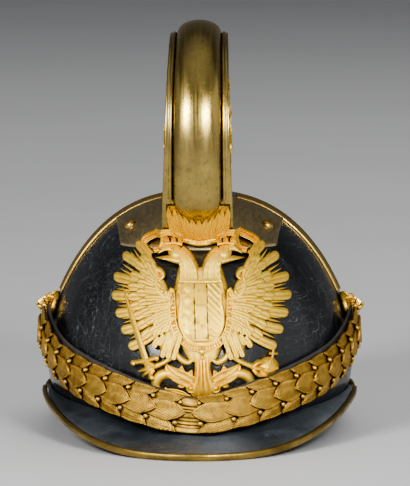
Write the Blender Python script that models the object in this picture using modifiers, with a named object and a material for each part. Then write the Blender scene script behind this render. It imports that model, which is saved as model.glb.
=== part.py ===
"""Crested dragoon helmet: a leather skull with two peaks under a tall gilt comb.

Metres, +Z up. The front faces -Y, and left and right are as seen from the front, with
right at +X. It stands on the tips of its two peaks, with the origin on the ground under
the middle of its length.
"""

import math
from collections import namedtuple

import bmesh
import bpy
from mathutils import Matrix, Vector

# General
CLEARANCE = 0.0003

# Skull: an egg-shaped dome, measured from its widest level
SKULL_HALF_WIDTH = 0.0930
SKULL_FRONT = 0.1180
SKULL_REAR = 0.1120
SKULL_HEIGHT = 0.0945
SKULL_SWELL = 2.5
SKULL_SHOULDER = 1.5
SKULL_WALL = 0.0025
SKULL_SEGMENTS = 30
SKULL_RINGS = 22

# Rim: lower at the front and rear than over the ears
RIM_SIDE_DROP = 0.0250
RIM_END_DIP = 0.0060

# Peaks: the front one over the eyes, the rear one over the neck
PEAK_REACH = 0.0410
GUARD_REACH = 0.0350
PEAK_SIDE_REACH = 0.0025
GUARD_SIDE_REACH = 0.0012
PEAK_WALL = 0.0025
PEAK_BULGE = 0.0006
PEAK_JOINT_Y = -0.0060
PEAK_DROP = 0.0140
EDGE_CORNER_DROP = 0.0005
EDGE_RISE_POWER = 2.6
EDGE_LEVEL_ANGLE = 12.0

# Binding round the peaks
TRIM_WIDTH = 0.0033
TRIM_HEIGHT = 0.0045
TRIM_CHAMFER = 0.0010

# Band from ear to ear
BAND_Y = -0.0060
BAND_WIDTH = 0.0130
BAND_THICKNESS = 0.0010
BAND_BEAD = 0.0009
BAND_BEAD_INSET = 0.0013

# Plate under the front of the comb
PLATE_THICKNESS = 0.0010
PLATE_REAR_HALF_WIDTH = 0.0505
PLATE_FRONT_HALF_WIDTH = 0.0465
PLATE_FRONT_LEVEL = 0.0680

# Rivets on that plate
RIVET_RADIUS = 0.0023
RIVET_HEIGHT = 0.0016
RIVET_X = 0.0413
RIVET_Y = -0.0380

# Comb
COMB_RISE = 0.1005
COMB_HALF_WIDTH = 0.0216
COMB_LIP = 0.0024
COMB_FLANGE = 0.0015
COMB_WALL = 0.0015
RIDGE_HALF_WIDTH = 0.0140
RIDGE_HEIGHT = 0.0078
RIDGE_START = 0.0170
RIDGE_ROUNDING = 0.0130
COMB_FOOT_LAG = 2.0
COMB_SECTIONS = 22
RIDGE_FACETS = 8
RIDGE_LEAST_WIDTH_SHARE = 0.25

# The comb's outer line seen from the side. angle is in degrees about the skull's centre,
# from the front, and the other columns are shares of COMB_RISE, COMB_HALF_WIDTH and
# RIDGE_HALF_WIDTH.
CombRow = namedtuple("CombRow", "angle rise width ridge")
COMB_ROWS = (
    CombRow(43.0, 0.025, 1.00, 1.00),
    CombRow(45.5, 0.200, 1.00, 1.00),
    CombRow(48.5, 0.400, 0.97, 1.00),
    CombRow(52.5, 0.595, 0.93, 0.99),
    CombRow(57.5, 0.765, 0.90, 0.99),
    CombRow(63.5, 0.900, 0.87, 0.97),
    CombRow(70.0, 0.975, 0.84, 0.94),
    CombRow(76.5, 1.000, 0.83, 0.93),
    CombRow(83.0, 0.985, 0.82, 0.92),
    CombRow(90.0, 0.930, 0.81, 0.91),
    CombRow(99.0, 0.810, 0.80, 0.90),
    CombRow(110.0, 0.640, 0.79, 0.89),
    CombRow(121.5, 0.470, 0.77, 0.87),
    CombRow(134.0, 0.315, 0.75, 0.85),
    CombRow(146.5, 0.195, 0.73, 0.83),
    CombRow(158.0, 0.120, 0.71, 0.81),
    CombRow(167.0, 0.080, 0.69, 0.79),
)

# Reliefs on the comb's sides. All but the thickness and the lobes are shares of the comb's
# length, of its side's height or of the relief's own depth.
RELIEF_THICKNESS = 0.0028
RELIEF_START_SHARE = 0.20
RELIEF_END_SHARE = 0.80
RELIEF_MIDDLE_SHARE = 0.50
RELIEF_SPREAD_SHARE = 0.30
RELIEF_LOBES = 7
LOBE_DEPTH_SHARE = 0.25
RELIEF_EDGE_THINNING_SHARE = 0.55
RELIEF_POINT_SHARE = 0.08
RELIEF_TAIL_SHARE = 0.95

# Lion mask bosses at the ears
BOSS_RADIUS = 0.0100
BOSS_RIM_HEIGHT = 0.0022
BOSS_HEIGHT = 0.0102
BOSS_ABOVE_WIDEST = 0.0250

# The mask on a boss, as shares of its radius, and of its height above the rim
MASK_DOME_SHARE = 0.45
MUZZLE_DROP_SHARE = 0.15
MUZZLE_HALF_WIDTH_SHARE = 0.30
BROW_SIDE_SHARE = 0.30
BROW_LIFT_SHARE = 0.38
BROW_SPREAD_SHARE = 0.17
BROW_STRENGTH_SHARE = 0.25

# Chin chain, laid up over the front peak
CHAIN_FRONT_STANDOFF = 0.0100
CHAIN_SIDE_STANDOFF = 0.0012
CHAIN_HALF_WIDTH = 0.0115
CHAIN_LEAN = 31.0
CHAIN_LEAN_END = 60.0
CHAIN_CONVEX = 0.0020
SCALE_THICKNESS = 0.0012
SCALE_OVERLAP = 0.0045
SCALE_SHOULDER_SHARE = 0.28
STRAP_THICKNESS = 0.0018
STRAP_LOWER = 0.0080
STRAP_UPPER = 0.0128
CHAIN_RIGHT_START = 0.0055
CHAIN_LEFT_START = 0.0120
CHAIN_RIGHT_UNITS = 10
CHAIN_LEFT_UNITS = 9
HOOK_PLATE_HALF_WIDTH = 0.0085

# The chain's middle line. angle is in degrees round the skull from the front, and height
# is a share of the height from the ground to the bosses. The first row mirrors the third,
# so that the line is level at the front.
ChainRow = namedtuple("ChainRow", "angle height")
CHAIN_ROWS = (
    ChainRow(-15.0, 0.365),
    ChainRow(0.0, 0.300),
    ChainRow(15.0, 0.365),
    ChainRow(30.0, 0.460),
    ChainRow(45.0, 0.550),
    ChainRow(58.0, 0.635),
    ChainRow(70.0, 0.755),
    ChainRow(80.0, 0.890),
    ChainRow(90.0, 1.000),
)

# Eagle badge. Both columns are shares: across of BADGE_HALF_WIDTH, up of BADGE_HEIGHT
# from the tip of the tail.
BADGE_HALF_WIDTH = 0.0530
BADGE_HEIGHT = 0.0974
BADGE_BELOW_CROWN = 0.0121
BADGE_OFFSET = 0.0025
BADGE_THICKNESS = 0.0020
BADGE_SHIELD_RISE = 0.0026
BADGE_CELL = 0.0125
BADGE_STEP_START = 0.0120
BADGE_STEP_LENGTH = 0.0080
FEATHER_HALF_WIDTH = 0.0036
FEATHER_NOTCH = 0.0100
ORB_RADIUS = 0.0060

BadgePoint = namedtuple("BadgePoint", "across up")
CROWN_AND_HEAD = (
    BadgePoint(0.11, 0.990),
    BadgePoint(0.23, 0.940),
    BadgePoint(0.40, 0.950),
    BadgePoint(0.59, 0.920),
    BadgePoint(0.56, 0.850),
    BadgePoint(0.50, 0.855),
    BadgePoint(0.50, 0.885),
    BadgePoint(0.43, 0.890),
    BadgePoint(0.50, 0.805),
    BadgePoint(0.36, 0.790),
    BadgePoint(0.24, 0.775),
    BadgePoint(0.26, 0.695),
    BadgePoint(0.33, 0.620),
    BadgePoint(0.42, 0.670),
    BadgePoint(0.40, 0.735),
    BadgePoint(0.50, 0.770),
    BadgePoint(0.57, 0.810),
)
FEATHER_TIPS = (
    BadgePoint(0.71, 0.890),
    BadgePoint(0.87, 0.815),
    BadgePoint(0.97, 0.693),
    BadgePoint(1.00, 0.585),
    BadgePoint(0.95, 0.483),
    BadgePoint(0.88, 0.388),
    BadgePoint(0.80, 0.303),
)
WING_ROOT = BadgePoint(0.45, 0.60)
LEG = (
    BadgePoint(0.60, 0.370),
    BadgePoint(0.53, 0.340),
    BadgePoint(0.60, 0.270),
)
ORB_CENTRE = BadgePoint(0.72, 0.185)
SCROLL_AND_TAIL = (
    BadgePoint(0.57, 0.200),
    BadgePoint(0.49, 0.260),
    BadgePoint(0.47, 0.190),
    BadgePoint(0.63, 0.120),
    BadgePoint(0.58, 0.065),
    BadgePoint(0.43, 0.090),
    BadgePoint(0.34, 0.200),
    BadgePoint(0.25, 0.170),
    BadgePoint(0.26, 0.080),
    BadgePoint(0.18, 0.030),
    BadgePoint(0.09, 0.015),
)
NECK_HOLE = (
    BadgePoint(0.095, 0.878),
    BadgePoint(0.015, 0.770),
)
SHIELD_CENTRE = BadgePoint(0.0, 0.52)
SHIELD_HALF_WIDTH = 0.0150
SHIELD_HALF_HEIGHT = 0.0180

# Places worked out from the sizes above
RIM_END_Z = PEAK_DROP
RIM_SIDE_Z = RIM_END_Z + RIM_END_DIP
WIDEST_Z = RIM_SIDE_Z + RIM_SIDE_DROP
FRONT_TIP = SKULL_FRONT + PEAK_REACH
REAR_TIP = SKULL_REAR + GUARD_REACH
CENTRE_Y = (FRONT_TIP - REAR_TIP) / 2
SKULL_CENTRE = Vector((0, CENTRE_Y, WIDEST_Z))
FRONT_TIP_Y = CENTRE_Y - FRONT_TIP
REAR_TIP_Y = CENTRE_Y + REAR_TIP
EDGE_CORNER_RISE = RIM_SIDE_Z - EDGE_CORNER_DROP
BOSS_Z = WIDEST_Z + BOSS_ABOVE_WIDEST
BADGE_TAIL_Z = WIDEST_Z + SKULL_HEIGHT - BADGE_BELOW_CROWN - BADGE_HEIGHT
CHAIN_HALF_LENGTH = SKULL_FRONT + CHAIN_FRONT_STANDOFF
CHAIN_SPREAD = SKULL_HALF_WIDTH + CHAIN_SIDE_STANDOFF
BAND_FRONT_Y = BAND_Y - BAND_WIDTH / 2
BAND_REAR_Y = BAND_Y + BAND_WIDTH / 2
PLATE_SEAT = 2 * CLEARANCE + PLATE_THICKNESS
BADGE_BEND_X = COMB_HALF_WIDTH + 3 * CLEARANCE


def lerp(start, end, share):
    return start + (end - start) * share


def smooth_table(rows, column, position):
    """Catmull-Rom value of one column of a table, at a position counted in rows."""
    last = len(rows) - 1
    index = min(int(position), last - 1)
    t = position - index
    near = [getattr(rows[min(max(index + k, 0), last)], column) for k in (-1, 0, 1, 2)]
    a, b, c, d = near
    square = 2 * a - 5 * b + 4 * c - d
    cube = 3 * b - a - 3 * c + d
    return 0.5 * (2 * b + (c - a) * t + square * t**2 + cube * t**3)


# Materials


def make_material(name, colour, metallic, roughness):
    material = bpy.data.materials.new(name)
    material.use_nodes = True
    surface = material.node_tree.nodes["Principled BSDF"]
    surface.inputs["Base Color"].default_value = (*colour, 1.0)
    surface.inputs["Metallic"].default_value = metallic
    surface.inputs["Roughness"].default_value = roughness
    return material


def black_leather():
    return make_material("black_leather", (0.012, 0.014, 0.018), 0.0, 0.35)


def polished_brass():
    return make_material("polished_brass", (0.62, 0.42, 0.12), 1.0, 0.18)


def olive_brass():
    return make_material("olive_brass", (0.36, 0.26, 0.09), 1.0, 0.35)


def matt_gilt():
    return make_material("matt_gilt", (0.80, 0.56, 0.20), 1.0, 0.42)


def chain_gilt():
    return make_material("chain_gilt", (0.66, 0.42, 0.12), 1.0, 0.38)


# Making objects


def add_object(name, mesh, material, smooth=True):
    obj = bpy.data.objects.new(name, mesh)
    helmet.objects.link(obj)
    mesh.materials.append(material)
    if smooth:
        mesh.shade_smooth()
        mesh.set_sharp_from_angle(angle=math.radians(35))
    return obj


def mesh_from(bm, name, closed=True):
    bmesh.ops.recalc_face_normals(bm, faces=bm.faces)
    if closed and bm.calc_volume(signed=True) < 0:
        bmesh.ops.reverse_faces(bm, faces=bm.faces)
    mesh = bpy.data.meshes.new(name)
    bm.to_mesh(mesh)
    bm.free()
    return mesh


def slab(name, columns, rows, place, material):
    """A closed piece from a flat slab: place(u, v, w) says where each of its points goes.

    u and v run from 0 to 1 along and across, and w is 0 on the inner face, 1 on the outer.
    """
    bm = bmesh.new()
    bmesh.ops.create_grid(bm, x_segments=columns, y_segments=rows, size=0.5)
    raised = bmesh.ops.extrude_face_region(bm, geom=bm.faces[:], use_keep_orig=True)
    for vert in [item for item in raised["geom"] if isinstance(item, bmesh.types.BMVert)]:
        vert.co.z = 1.0
    for vert in bm.verts:
        vert.co = place(vert.co.x + 0.5, vert.co.y + 0.5, vert.co.z)
    return add_object(name, mesh_from(bm, name), material)


# Skull


def girth(share):
    """Plan size at a share of the skull's height, as a share of the widest."""
    if share < 0:
        return math.sqrt(1 - share**2)
    return max(1 - share**SKULL_SHOULDER, 0) ** (1 / SKULL_SWELL)


def skull_spread(x, y, offset):
    """Plan distance from the skull's centre as a share of its widest outline."""
    length = (SKULL_FRONT if y < CENTRE_Y else SKULL_REAR) + offset
    return math.hypot(x / (SKULL_HALF_WIDTH + offset), (y - CENTRE_Y) / length)


def skull_level(point, offset):
    """Below 1 inside the dome moved out by offset, 1 on it and above 1 outside."""
    share = max(point.z - WIDEST_Z, 0) / (SKULL_HEIGHT + offset)
    return skull_spread(point.x, point.y, offset) ** SKULL_SWELL + share**SKULL_SHOULDER


def dome_point(x, y, offset):
    """The point of the dome above (x, y), on the skull's outer face moved out by offset."""
    spread = min(skull_spread(x, y, offset), 1)
    share = (1 - spread**SKULL_SWELL) ** (1 / SKULL_SHOULDER)
    return Vector((x, y, WIDEST_Z + (SKULL_HEIGHT + offset) * share))


def brow_point(x, z, offset):
    """The point of the front of the skull behind (x, z), moved out by offset."""
    width = girth((z - WIDEST_Z) / (SKULL_HEIGHT + offset))
    left = max(width**2 - (x / (SKULL_HALF_WIDTH + offset)) ** 2, 0)
    return Vector((x, CENTRE_Y - (SKULL_FRONT + offset) * math.sqrt(left), z))


def temple_point(y, z, offset):
    """The point of the skull's right side beside (y, z), moved out by offset."""
    width = girth((z - WIDEST_Z) / (SKULL_HEIGHT + offset))
    left = max(width**2 - ((y - CENTRE_Y) / (SKULL_FRONT + offset)) ** 2, 0)
    return Vector(((SKULL_HALF_WIDTH + offset) * math.sqrt(left), y, z))


def dome_hit(start, direction, offset):
    """Where a line from inside the dome meets its outer face moved out by offset."""
    near, far = 0.0, 2 * SKULL_FRONT
    for _ in range(40):
        middle = (near + far) / 2
        if skull_level(start + direction * middle, offset) < 1:
            near = middle
        else:
            far = middle
    return start + direction * near


def outward_at(point):
    """Direction square to the skull's outer face."""
    step = SKULL_WALL / 10
    here = skull_level(point, 0.0)
    slopes = []
    for axis in range(3):
        beside = point.copy()
        beside[axis] += step
        slopes.append(skull_level(beside, 0.0) - here)
    return Vector(slopes).normalized()


def rim_z(angle):
    """Height of the rim at an angle round the skull from the front."""
    return lerp(RIM_SIDE_Z, RIM_END_Z, math.cos(angle) ** 2)


def rim_point(angle, offset, z):
    """The skull's outer face at an angle and a height at or below the widest level."""
    lean = girth((z - WIDEST_Z) / SKULL_HEIGHT)
    length = (SKULL_FRONT if math.cos(angle) > 0 else SKULL_REAR) * lean + offset
    x = (SKULL_HALF_WIDTH * lean + offset) * math.sin(angle)
    return Vector((x, CENTRE_Y - length * math.cos(angle), z))


def make_skull(material):
    bm = bmesh.new()
    bmesh.ops.create_uvsphere(bm, u_segments=SKULL_SEGMENTS, v_segments=SKULL_RINGS, radius=1.0)
    below = math.pi / SKULL_RINGS
    spare = [vert for vert in bm.verts if vert.co.z < -math.sin(2.5 * below)]
    bmesh.ops.delete(bm, geom=spare, context="VERTS")
    for vert in bm.verts:
        angle = math.atan2(vert.co.x, -vert.co.y)
        if vert.co.z > -0.001:
            length = SKULL_FRONT if vert.co.y < 0 else SKULL_REAR
            vert.co = dome_point(vert.co.x * SKULL_HALF_WIDTH, CENTRE_Y + vert.co.y * length, 0.0)
        else:
            share = math.asin(-vert.co.z) / (2 * below)
            vert.co = rim_point(angle, 0.0, lerp(WIDEST_Z, rim_z(angle), share))
    obj = add_object("skull", mesh_from(bm, "skull", closed=False), material)
    wall = obj.modifiers.new("leather", "SOLIDIFY")
    wall.thickness = SKULL_WALL
    wall.offset = -1.0
    wall.use_even_offset = True
    return obj


# Peaks and their binding


Peak = namedtuple("Peak", "tip_y corner_y length half_width")
FRONT = Peak(
    tip_y=FRONT_TIP_Y,
    corner_y=PEAK_JOINT_Y - 2 * CLEARANCE,
    length=SKULL_FRONT,
    half_width=SKULL_HALF_WIDTH + PEAK_SIDE_REACH,
)
REAR = Peak(
    tip_y=REAR_TIP_Y,
    corner_y=PEAK_JOINT_Y + 2 * CLEARANCE,
    length=SKULL_REAR,
    half_width=SKULL_HALF_WIDTH + GUARD_SIDE_REACH,
)


def peak_edge(peak, angle):
    """Foot of the peak's outer edge and its outward direction, angle from the tip."""
    reach = peak.tip_y - peak.corner_y
    level = math.sin(math.radians(EDGE_LEVEL_ANGLE))
    climb = max(abs(math.sin(angle)) - level, 0) / (1 - level)
    across, ahead = math.sin(angle), math.cos(angle)
    rise = EDGE_CORNER_RISE * climb**EDGE_RISE_POWER
    foot = Vector((peak.half_width * across, peak.corner_y + reach * ahead, rise))
    outward = Vector((abs(reach) * across, math.copysign(peak.half_width, reach) * ahead, 0))
    return foot, outward.normalized()


def peak_root(peak, share, z_offset):
    """The peak's seat on the skull's rim, share running from -1 to 1 round the peak."""
    lean = girth(-RIM_SIDE_DROP / SKULL_HEIGHT)
    ahead = math.copysign(1, -peak.tip_y)
    last = math.acos(ahead * (CENTRE_Y - peak.corner_y) / (peak.length * lean))
    angle = share * last
    if ahead < 0:
        angle = math.pi - angle
    z = rim_z(angle) + z_offset
    return rim_point(angle, CLEARANCE, z)


def make_peak(name, peak, material):
    def place(u, v, w):
        share = 2 * u - 1
        foot, outward = peak_edge(peak, share * math.pi / 2)
        edge = foot - outward * (TRIM_WIDTH + CLEARANCE)
        edge.z += (TRIM_HEIGHT - PEAK_WALL) / 2 + w * PEAK_WALL
        root = peak_root(peak, share, w * PEAK_WALL)
        point = root.lerp(edge, v)
        point.z += PEAK_BULGE * math.sin(math.pi * v)
        return point

    return slab(name, 24, 3, place, material)


def make_trim(name, peak, material):
    """An octagonal binding, whose lowest facet is level at the peak's tip."""
    across = (0.0, TRIM_CHAMFER, TRIM_WIDTH - TRIM_CHAMFER, TRIM_WIDTH)

    def place(u, v, w):
        foot, outward = peak_edge(peak, (2 * u - 1) * math.pi / 2)
        column = round(v * 3)
        point = foot - outward * across[column]
        height = w * TRIM_HEIGHT
        if column in (0, 3):
            height += TRIM_CHAMFER * (1 - 2 * w)
        return point + Vector((0, 0, height))

    return slab(name, 28, 3, place, material)


# Band and front plate


def make_band(name, side, material):
    """Half of the ear-to-ear band: a strip with a bead along each edge."""
    bead_row = BAND_BEAD_INSET
    rows = (
        (0.0, 0.0),
        (bead_row, BAND_BEAD),
        (2 * bead_row, 0.0),
        (BAND_WIDTH - 2 * bead_row, 0.0),
        (BAND_WIDTH - bead_row, BAND_BEAD),
        (BAND_WIDTH, 0.0),
    )
    top = dome_point(COMB_HALF_WIDTH + CLEARANCE, BAND_Y, CLEARANCE)
    end = temple_point(BAND_Y, BOSS_Z + BOSS_RADIUS + CLEARANCE, CLEARANCE)
    first = math.atan2(top.x, top.z - WIDEST_Z)
    last = math.atan2(end.x, end.z - WIDEST_Z)

    def place(u, v, w):
        along, bead = rows[round(v * 5)]
        angle = lerp(first, last, u)
        start = Vector((0, BAND_FRONT_Y + along, WIDEST_Z))
        direction = Vector((math.sin(angle), 0, math.cos(angle)))
        point = dome_hit(start, direction, CLEARANCE + w * (BAND_THICKNESS + bead))
        return Vector((side * point.x, point.y, point.z))

    return slab(name, 12, 5, place, material)


def make_front_plate(material):
    def place(u, v, w):
        across = 2 * u - 1
        offset = CLEARANCE + w * PLATE_THICKNESS
        x = across * lerp(PLATE_FRONT_HALF_WIDTH, PLATE_REAR_HALF_WIDTH, v)
        front = brow_point(x, WIDEST_Z + PLATE_FRONT_LEVEL, CLEARANCE).y
        y = lerp(front, BAND_FRONT_Y - CLEARANCE, v)
        return dome_point(x, y, offset)

    return slab("front_plate", 12, 6, place, material)


def half_sphere(segments, rings):
    """The closed upper half of a unit sphere."""
    bm = bmesh.new()
    bmesh.ops.create_uvsphere(bm, u_segments=segments, v_segments=rings, radius=1.0)
    lower = [vert for vert in bm.verts if vert.co.z < -0.01]
    bmesh.ops.delete(bm, geom=lower, context="VERTS")
    bmesh.ops.edgeloop_fill(bm, edges=[edge for edge in bm.edges if edge.is_boundary])
    return bm


def make_rivet(name, side, material):
    bm = half_sphere(10, 6)
    sizes = Vector((RIVET_RADIUS, RIVET_RADIUS, RIVET_HEIGHT, 1))
    bmesh.ops.transform(bm, matrix=Matrix.Diagonal(sizes), verts=bm.verts)
    obj = add_object(name, mesh_from(bm, name), material)
    seat = dome_point(side * RIVET_X, RIVET_Y, PLATE_SEAT)
    obj.location = seat
    obj.rotation_euler = outward_at(seat).to_track_quat("Z", "Y").to_euler()
    return obj


# Comb


CombPlace = namedtuple("CombPlace", "y z normal_y normal_z half_width ridge")


def comb_samples():
    """Points along the comb's outer line, with the length reached at each."""
    last = len(COMB_ROWS) - 1
    samples = []
    reached = 0.0
    for step in range(last * 12 + 1):
        position = step / 12
        angle = math.radians(smooth_table(COMB_ROWS, "angle", position))
        rise = smooth_table(COMB_ROWS, "rise", position) * COMB_RISE
        direction = Vector((0, -math.cos(angle), math.sin(angle)))
        point = dome_hit(SKULL_CENTRE, direction, 0.0) + direction * rise
        y, z = point.y, point.z
        if samples:
            reached += math.hypot(y - samples[-1][1], z - samples[-1][2])
        samples.append((reached, y, z, position))
    return samples


def comb_at(length):
    """Place on the comb's outer line at a length from its front foot."""
    samples = COMB_SAMPLES
    index = 1
    while index < len(samples) - 1 and samples[index][0] < length:
        index += 1
    start, y0, z0, p0 = samples[index - 1]
    end, y1, z1, p1 = samples[index]
    share = (length - start) / (end - start)
    position = lerp(p0, p1, share)
    run = math.hypot(y1 - y0, z1 - z0)
    return CombPlace(
        y=lerp(y0, y1, share),
        z=lerp(z0, z1, share),
        normal_y=-(z1 - z0) / run,
        normal_z=(y1 - y0) / run,
        half_width=COMB_HALF_WIDTH * smooth_table(COMB_ROWS, "width", position),
        ridge=RIDGE_HALF_WIDTH * smooth_table(COMB_ROWS, "ridge", position),
    )


COMB_SAMPLES = comb_samples()
COMB_LENGTH = COMB_SAMPLES[-1][0]


def ridge_fullness(length):
    """How far the rounded ends let the ridge rise, from nearly 0 at its ends to 1."""
    inside = min(length - RIDGE_START, COMB_LENGTH - length)
    if inside <= 0:
        return 0.0
    short = 1 - min(inside / RIDGE_ROUNDING, 1)
    return math.sqrt(1 - short**2)


def long_sections():
    """Lengths at which the ridge and the comb's sides both have a section."""
    first = RIDGE_START + RIDGE_ROUNDING
    last = COMB_LENGTH - RIDGE_ROUNDING
    return [lerp(first, last, step / COMB_SECTIONS) for step in range(COMB_SECTIONS + 1)]


def ridge_lengths():
    """Where the ridge has its sections: close together round its ends."""
    front = [RIDGE_START + RIDGE_ROUNDING * share for share in (0.0, 0.05, 0.18, 0.45)]
    rear = [COMB_LENGTH - RIDGE_ROUNDING * share for share in (0.45, 0.18, 0.05)]
    return [0.0] + front + long_sections() + rear


def make_comb_ridge(material):
    """The gilt spine: a flat strip with a half-round ridge, hollow underneath."""
    lengths = ridge_lengths()
    count = len(lengths) - 1

    def place(u, v, w):
        length = lengths[round(u * count)]
        spot = comb_at(length)
        full = ridge_fullness(length)
        column = round(v * (RIDGE_FACETS + 2))
        if column in (0, RIDGE_FACETS + 2):
            x = math.copysign(spot.half_width, column - 1)
            height = -COMB_FLANGE * (1 - w)
        else:
            turn = math.pi * (1 - (column - 1) / RIDGE_FACETS)
            half = spot.ridge * max(full, RIDGE_LEAST_WIDTH_SHARE)
            x = (half - COMB_FLANGE * (1 - w)) * math.cos(turn)
            height = RIDGE_HEIGHT * full * math.sin(turn) - COMB_FLANGE * (1 - w)
        return Vector((x, spot.y + spot.normal_y * height, spot.z + spot.normal_z * height))

    return slab("comb_ridge", count, RIDGE_FACETS + 2, place, material)


def comb_wall_foot(length):
    """Angle about the skull's centre at which the side that starts at length stands."""
    first = math.radians(COMB_ROWS[0].angle)
    last = math.radians(COMB_ROWS[-1].angle)
    spot = comb_at(length)
    angle = math.atan2(spot.z - WIDEST_Z, CENTRE_Y - spot.y)
    lag = math.radians(COMB_FOOT_LAG)
    return lerp(first + lag, last, (angle - first) / (last - first))


def comb_side_point(length, up, inward):
    """A point of the comb's side, up from the skull (0) to under the spine (1)."""
    spot = comb_at(length)
    x = spot.half_width - COMB_LIP - inward
    drop = COMB_FLANGE + CLEARANCE
    top = Vector((x, spot.y - spot.normal_y * drop, spot.z - spot.normal_z * drop))
    angle = comb_wall_foot(length)
    direction = Vector((0, -math.cos(angle), math.sin(angle)))
    start = Vector((x, CENTRE_Y, WIDEST_Z))
    before_band = dome_hit(start, direction, 0.0).y < BAND_REAR_Y
    foot = dome_hit(start, direction, PLATE_SEAT if before_band else CLEARANCE)
    return foot.lerp(top, up)


def make_comb_side(name, side, material):
    lengths = [2 * COMB_FLANGE, RIDGE_START] + long_sections() + [COMB_LENGTH - 2 * COMB_FLANGE]
    count = len(lengths) - 1

    def place(u, v, w):
        point = comb_side_point(lengths[round(u * count)], v, (1 - w) * COMB_WALL)
        return Vector((side * point.x, point.y, point.z))

    return slab(name, count, 2, place, material)


def make_comb_relief(name, side, material):
    """A leafy spray along the comb's side, with a scalloped outline."""

    def place(u, v, w):
        length = COMB_LENGTH * lerp(RELIEF_START_SHARE, RELIEF_END_SHARE, u)
        swell = math.sin(math.pi * lerp(RELIEF_POINT_SHARE, RELIEF_TAIL_SHARE, u)) ** 0.7
        lobe = 1 - LOBE_DEPTH_SHARE * (1 - abs(math.sin(math.pi * RELIEF_LOBES * u)))
        up = RELIEF_MIDDLE_SHARE + (2 * v - 1) * RELIEF_SPREAD_SHARE * swell * lobe
        thinned = 1 - RELIEF_EDGE_THINNING_SHARE * abs(2 * v - 1)
        outward = CLEARANCE + w * RELIEF_THICKNESS * thinned
        point = comb_side_point(length, up, -outward)
        return Vector((side * point.x, point.y, point.z))

    return slab(name, 21, 2, place, material)


# Bosses


def make_boss(name, side, material):
    """A lion mask on a round foot: brow, cheeks and a jutting muzzle."""
    seat = temple_point(BAND_Y, BOSS_Z, 0.0)
    outward = outward_at(seat)
    upward = (Vector((0, 0, 1)) - outward * outward.z).normalized()
    across = upward.cross(outward)

    def mask_height(x, z):
        mask = BOSS_HEIGHT - BOSS_RIM_HEIGHT
        dome = MASK_DOME_SHARE * mask * (1 - math.hypot(x, z) ** 2)
        from_muzzle = math.hypot(x, z + MUZZLE_DROP_SHARE) / MUZZLE_HALF_WIDTH_SHARE
        from_brow = math.hypot(abs(x) - BROW_SIDE_SHARE, z - BROW_LIFT_SHARE) / BROW_SPREAD_SHARE
        features = math.exp(-(from_muzzle**2)) + BROW_STRENGTH_SHARE * math.exp(-(from_brow**2))
        return BOSS_RIM_HEIGHT + dome + (1 - MASK_DOME_SHARE) * mask * min(features, 1)

    bm = half_sphere(18, 12)
    for vert in bm.verts:
        x, z, height = vert.co.x, vert.co.y, CLEARANCE
        if vert.co.z > 0.01:
            height += mask_height(x, z)
        vert.co = seat + (across * x + upward * z) * BOSS_RADIUS + outward * height
        vert.co.x *= side
    return add_object(name, mesh_from(bm, name), material)


# Chin chain


ChainPlace = namedtuple("ChainPlace", "point along across outward")


def chain_samples():
    """Points along the chain's middle line from the front to a boss, with lengths."""
    samples = []
    reached = 0.0
    last = math.acos((CENTRE_Y - BAND_Y) / CHAIN_HALF_LENGTH)
    for step in range(181):
        angle = last * step / 180
        row = 0
        degrees = math.degrees(angle)
        while row < len(CHAIN_ROWS) - 2 and CHAIN_ROWS[row + 1].angle < degrees:
            row += 1
        start, end = CHAIN_ROWS[row].angle, CHAIN_ROWS[row + 1].angle
        position = row + (degrees - start) / (end - start)
        height = smooth_table(CHAIN_ROWS, "height", position) * BOSS_Z
        x = CHAIN_SPREAD * math.sin(angle)
        y = CENTRE_Y - CHAIN_HALF_LENGTH * math.cos(angle)
        point = Vector((x, y, height))
        if samples:
            reached += (point - samples[-1][1]).length
        samples.append((reached, point, angle))
    return samples


CHAIN_SAMPLES = chain_samples()
CHAIN_LENGTH = CHAIN_SAMPLES[-1][0]


def chain_at(length):
    """The chain's middle line at a length from the front, on the right half."""
    index = 1
    while index < len(CHAIN_SAMPLES) - 1 and CHAIN_SAMPLES[index][0] < abs(length):
        index += 1
    start, p0, a0 = CHAIN_SAMPLES[index - 1]
    end, p1, a1 = CHAIN_SAMPLES[index]
    share = (abs(length) - start) / (end - start)
    point = p0.lerp(p1, share)
    angle = math.degrees(lerp(a0, a1, share))
    along = (p1 - p0).normalized()
    lean = math.radians(CHAIN_LEAN * max(1 - angle / CHAIN_LEAN_END, 0))
    inward = Vector((-along.y, along.x, 0)).normalized()
    if inward.dot(Vector((point.x, point.y - CENTRE_Y, 0))) > 0:
        inward = -inward
    across = Vector((0, 0, math.cos(lean))) + inward * math.sin(lean)
    across = (across - along * across.dot(along)).normalized()
    outward = along.cross(across)
    if outward.dot(inward) > 0:
        outward = -outward
    if length < 0:
        flip = Vector((-1, 1, 1))
        return ChainPlace(point * flip, -along * flip, across * flip, outward * flip)
    return ChainPlace(point, along, across, outward)


def chain_point(side, length, across, out):
    """length from the front towards the boss, across upwards, out from the strap's face."""
    spot = chain_at(length)
    point = spot.point + spot.across * across + spot.outward * out
    return Vector((side * point.x, point.y, point.z))


CHAIN_END = CHAIN_LENGTH - BOSS_RADIUS - CLEARANCE


def make_strap(name, side, material):
    def place(u, v, w):
        length = lerp(CLEARANCE, CHAIN_END, u)
        across = lerp(-STRAP_LOWER, STRAP_UPPER, v)
        return chain_point(side, length, across, (w - 1) * STRAP_THICKNESS)

    return slab(name, 18, 1, place, material)


def scale_out(across, from_base, pitch):
    """How far a scale's inner face stands off the strap: it slopes over the next one."""
    rise = (SCALE_THICKNESS + CLEARANCE) * from_base / pitch
    curve = CHAIN_CONVEX * (1 - (across / CHAIN_HALF_WIDTH) ** 2)
    return CLEARANCE + rise + curve


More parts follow.
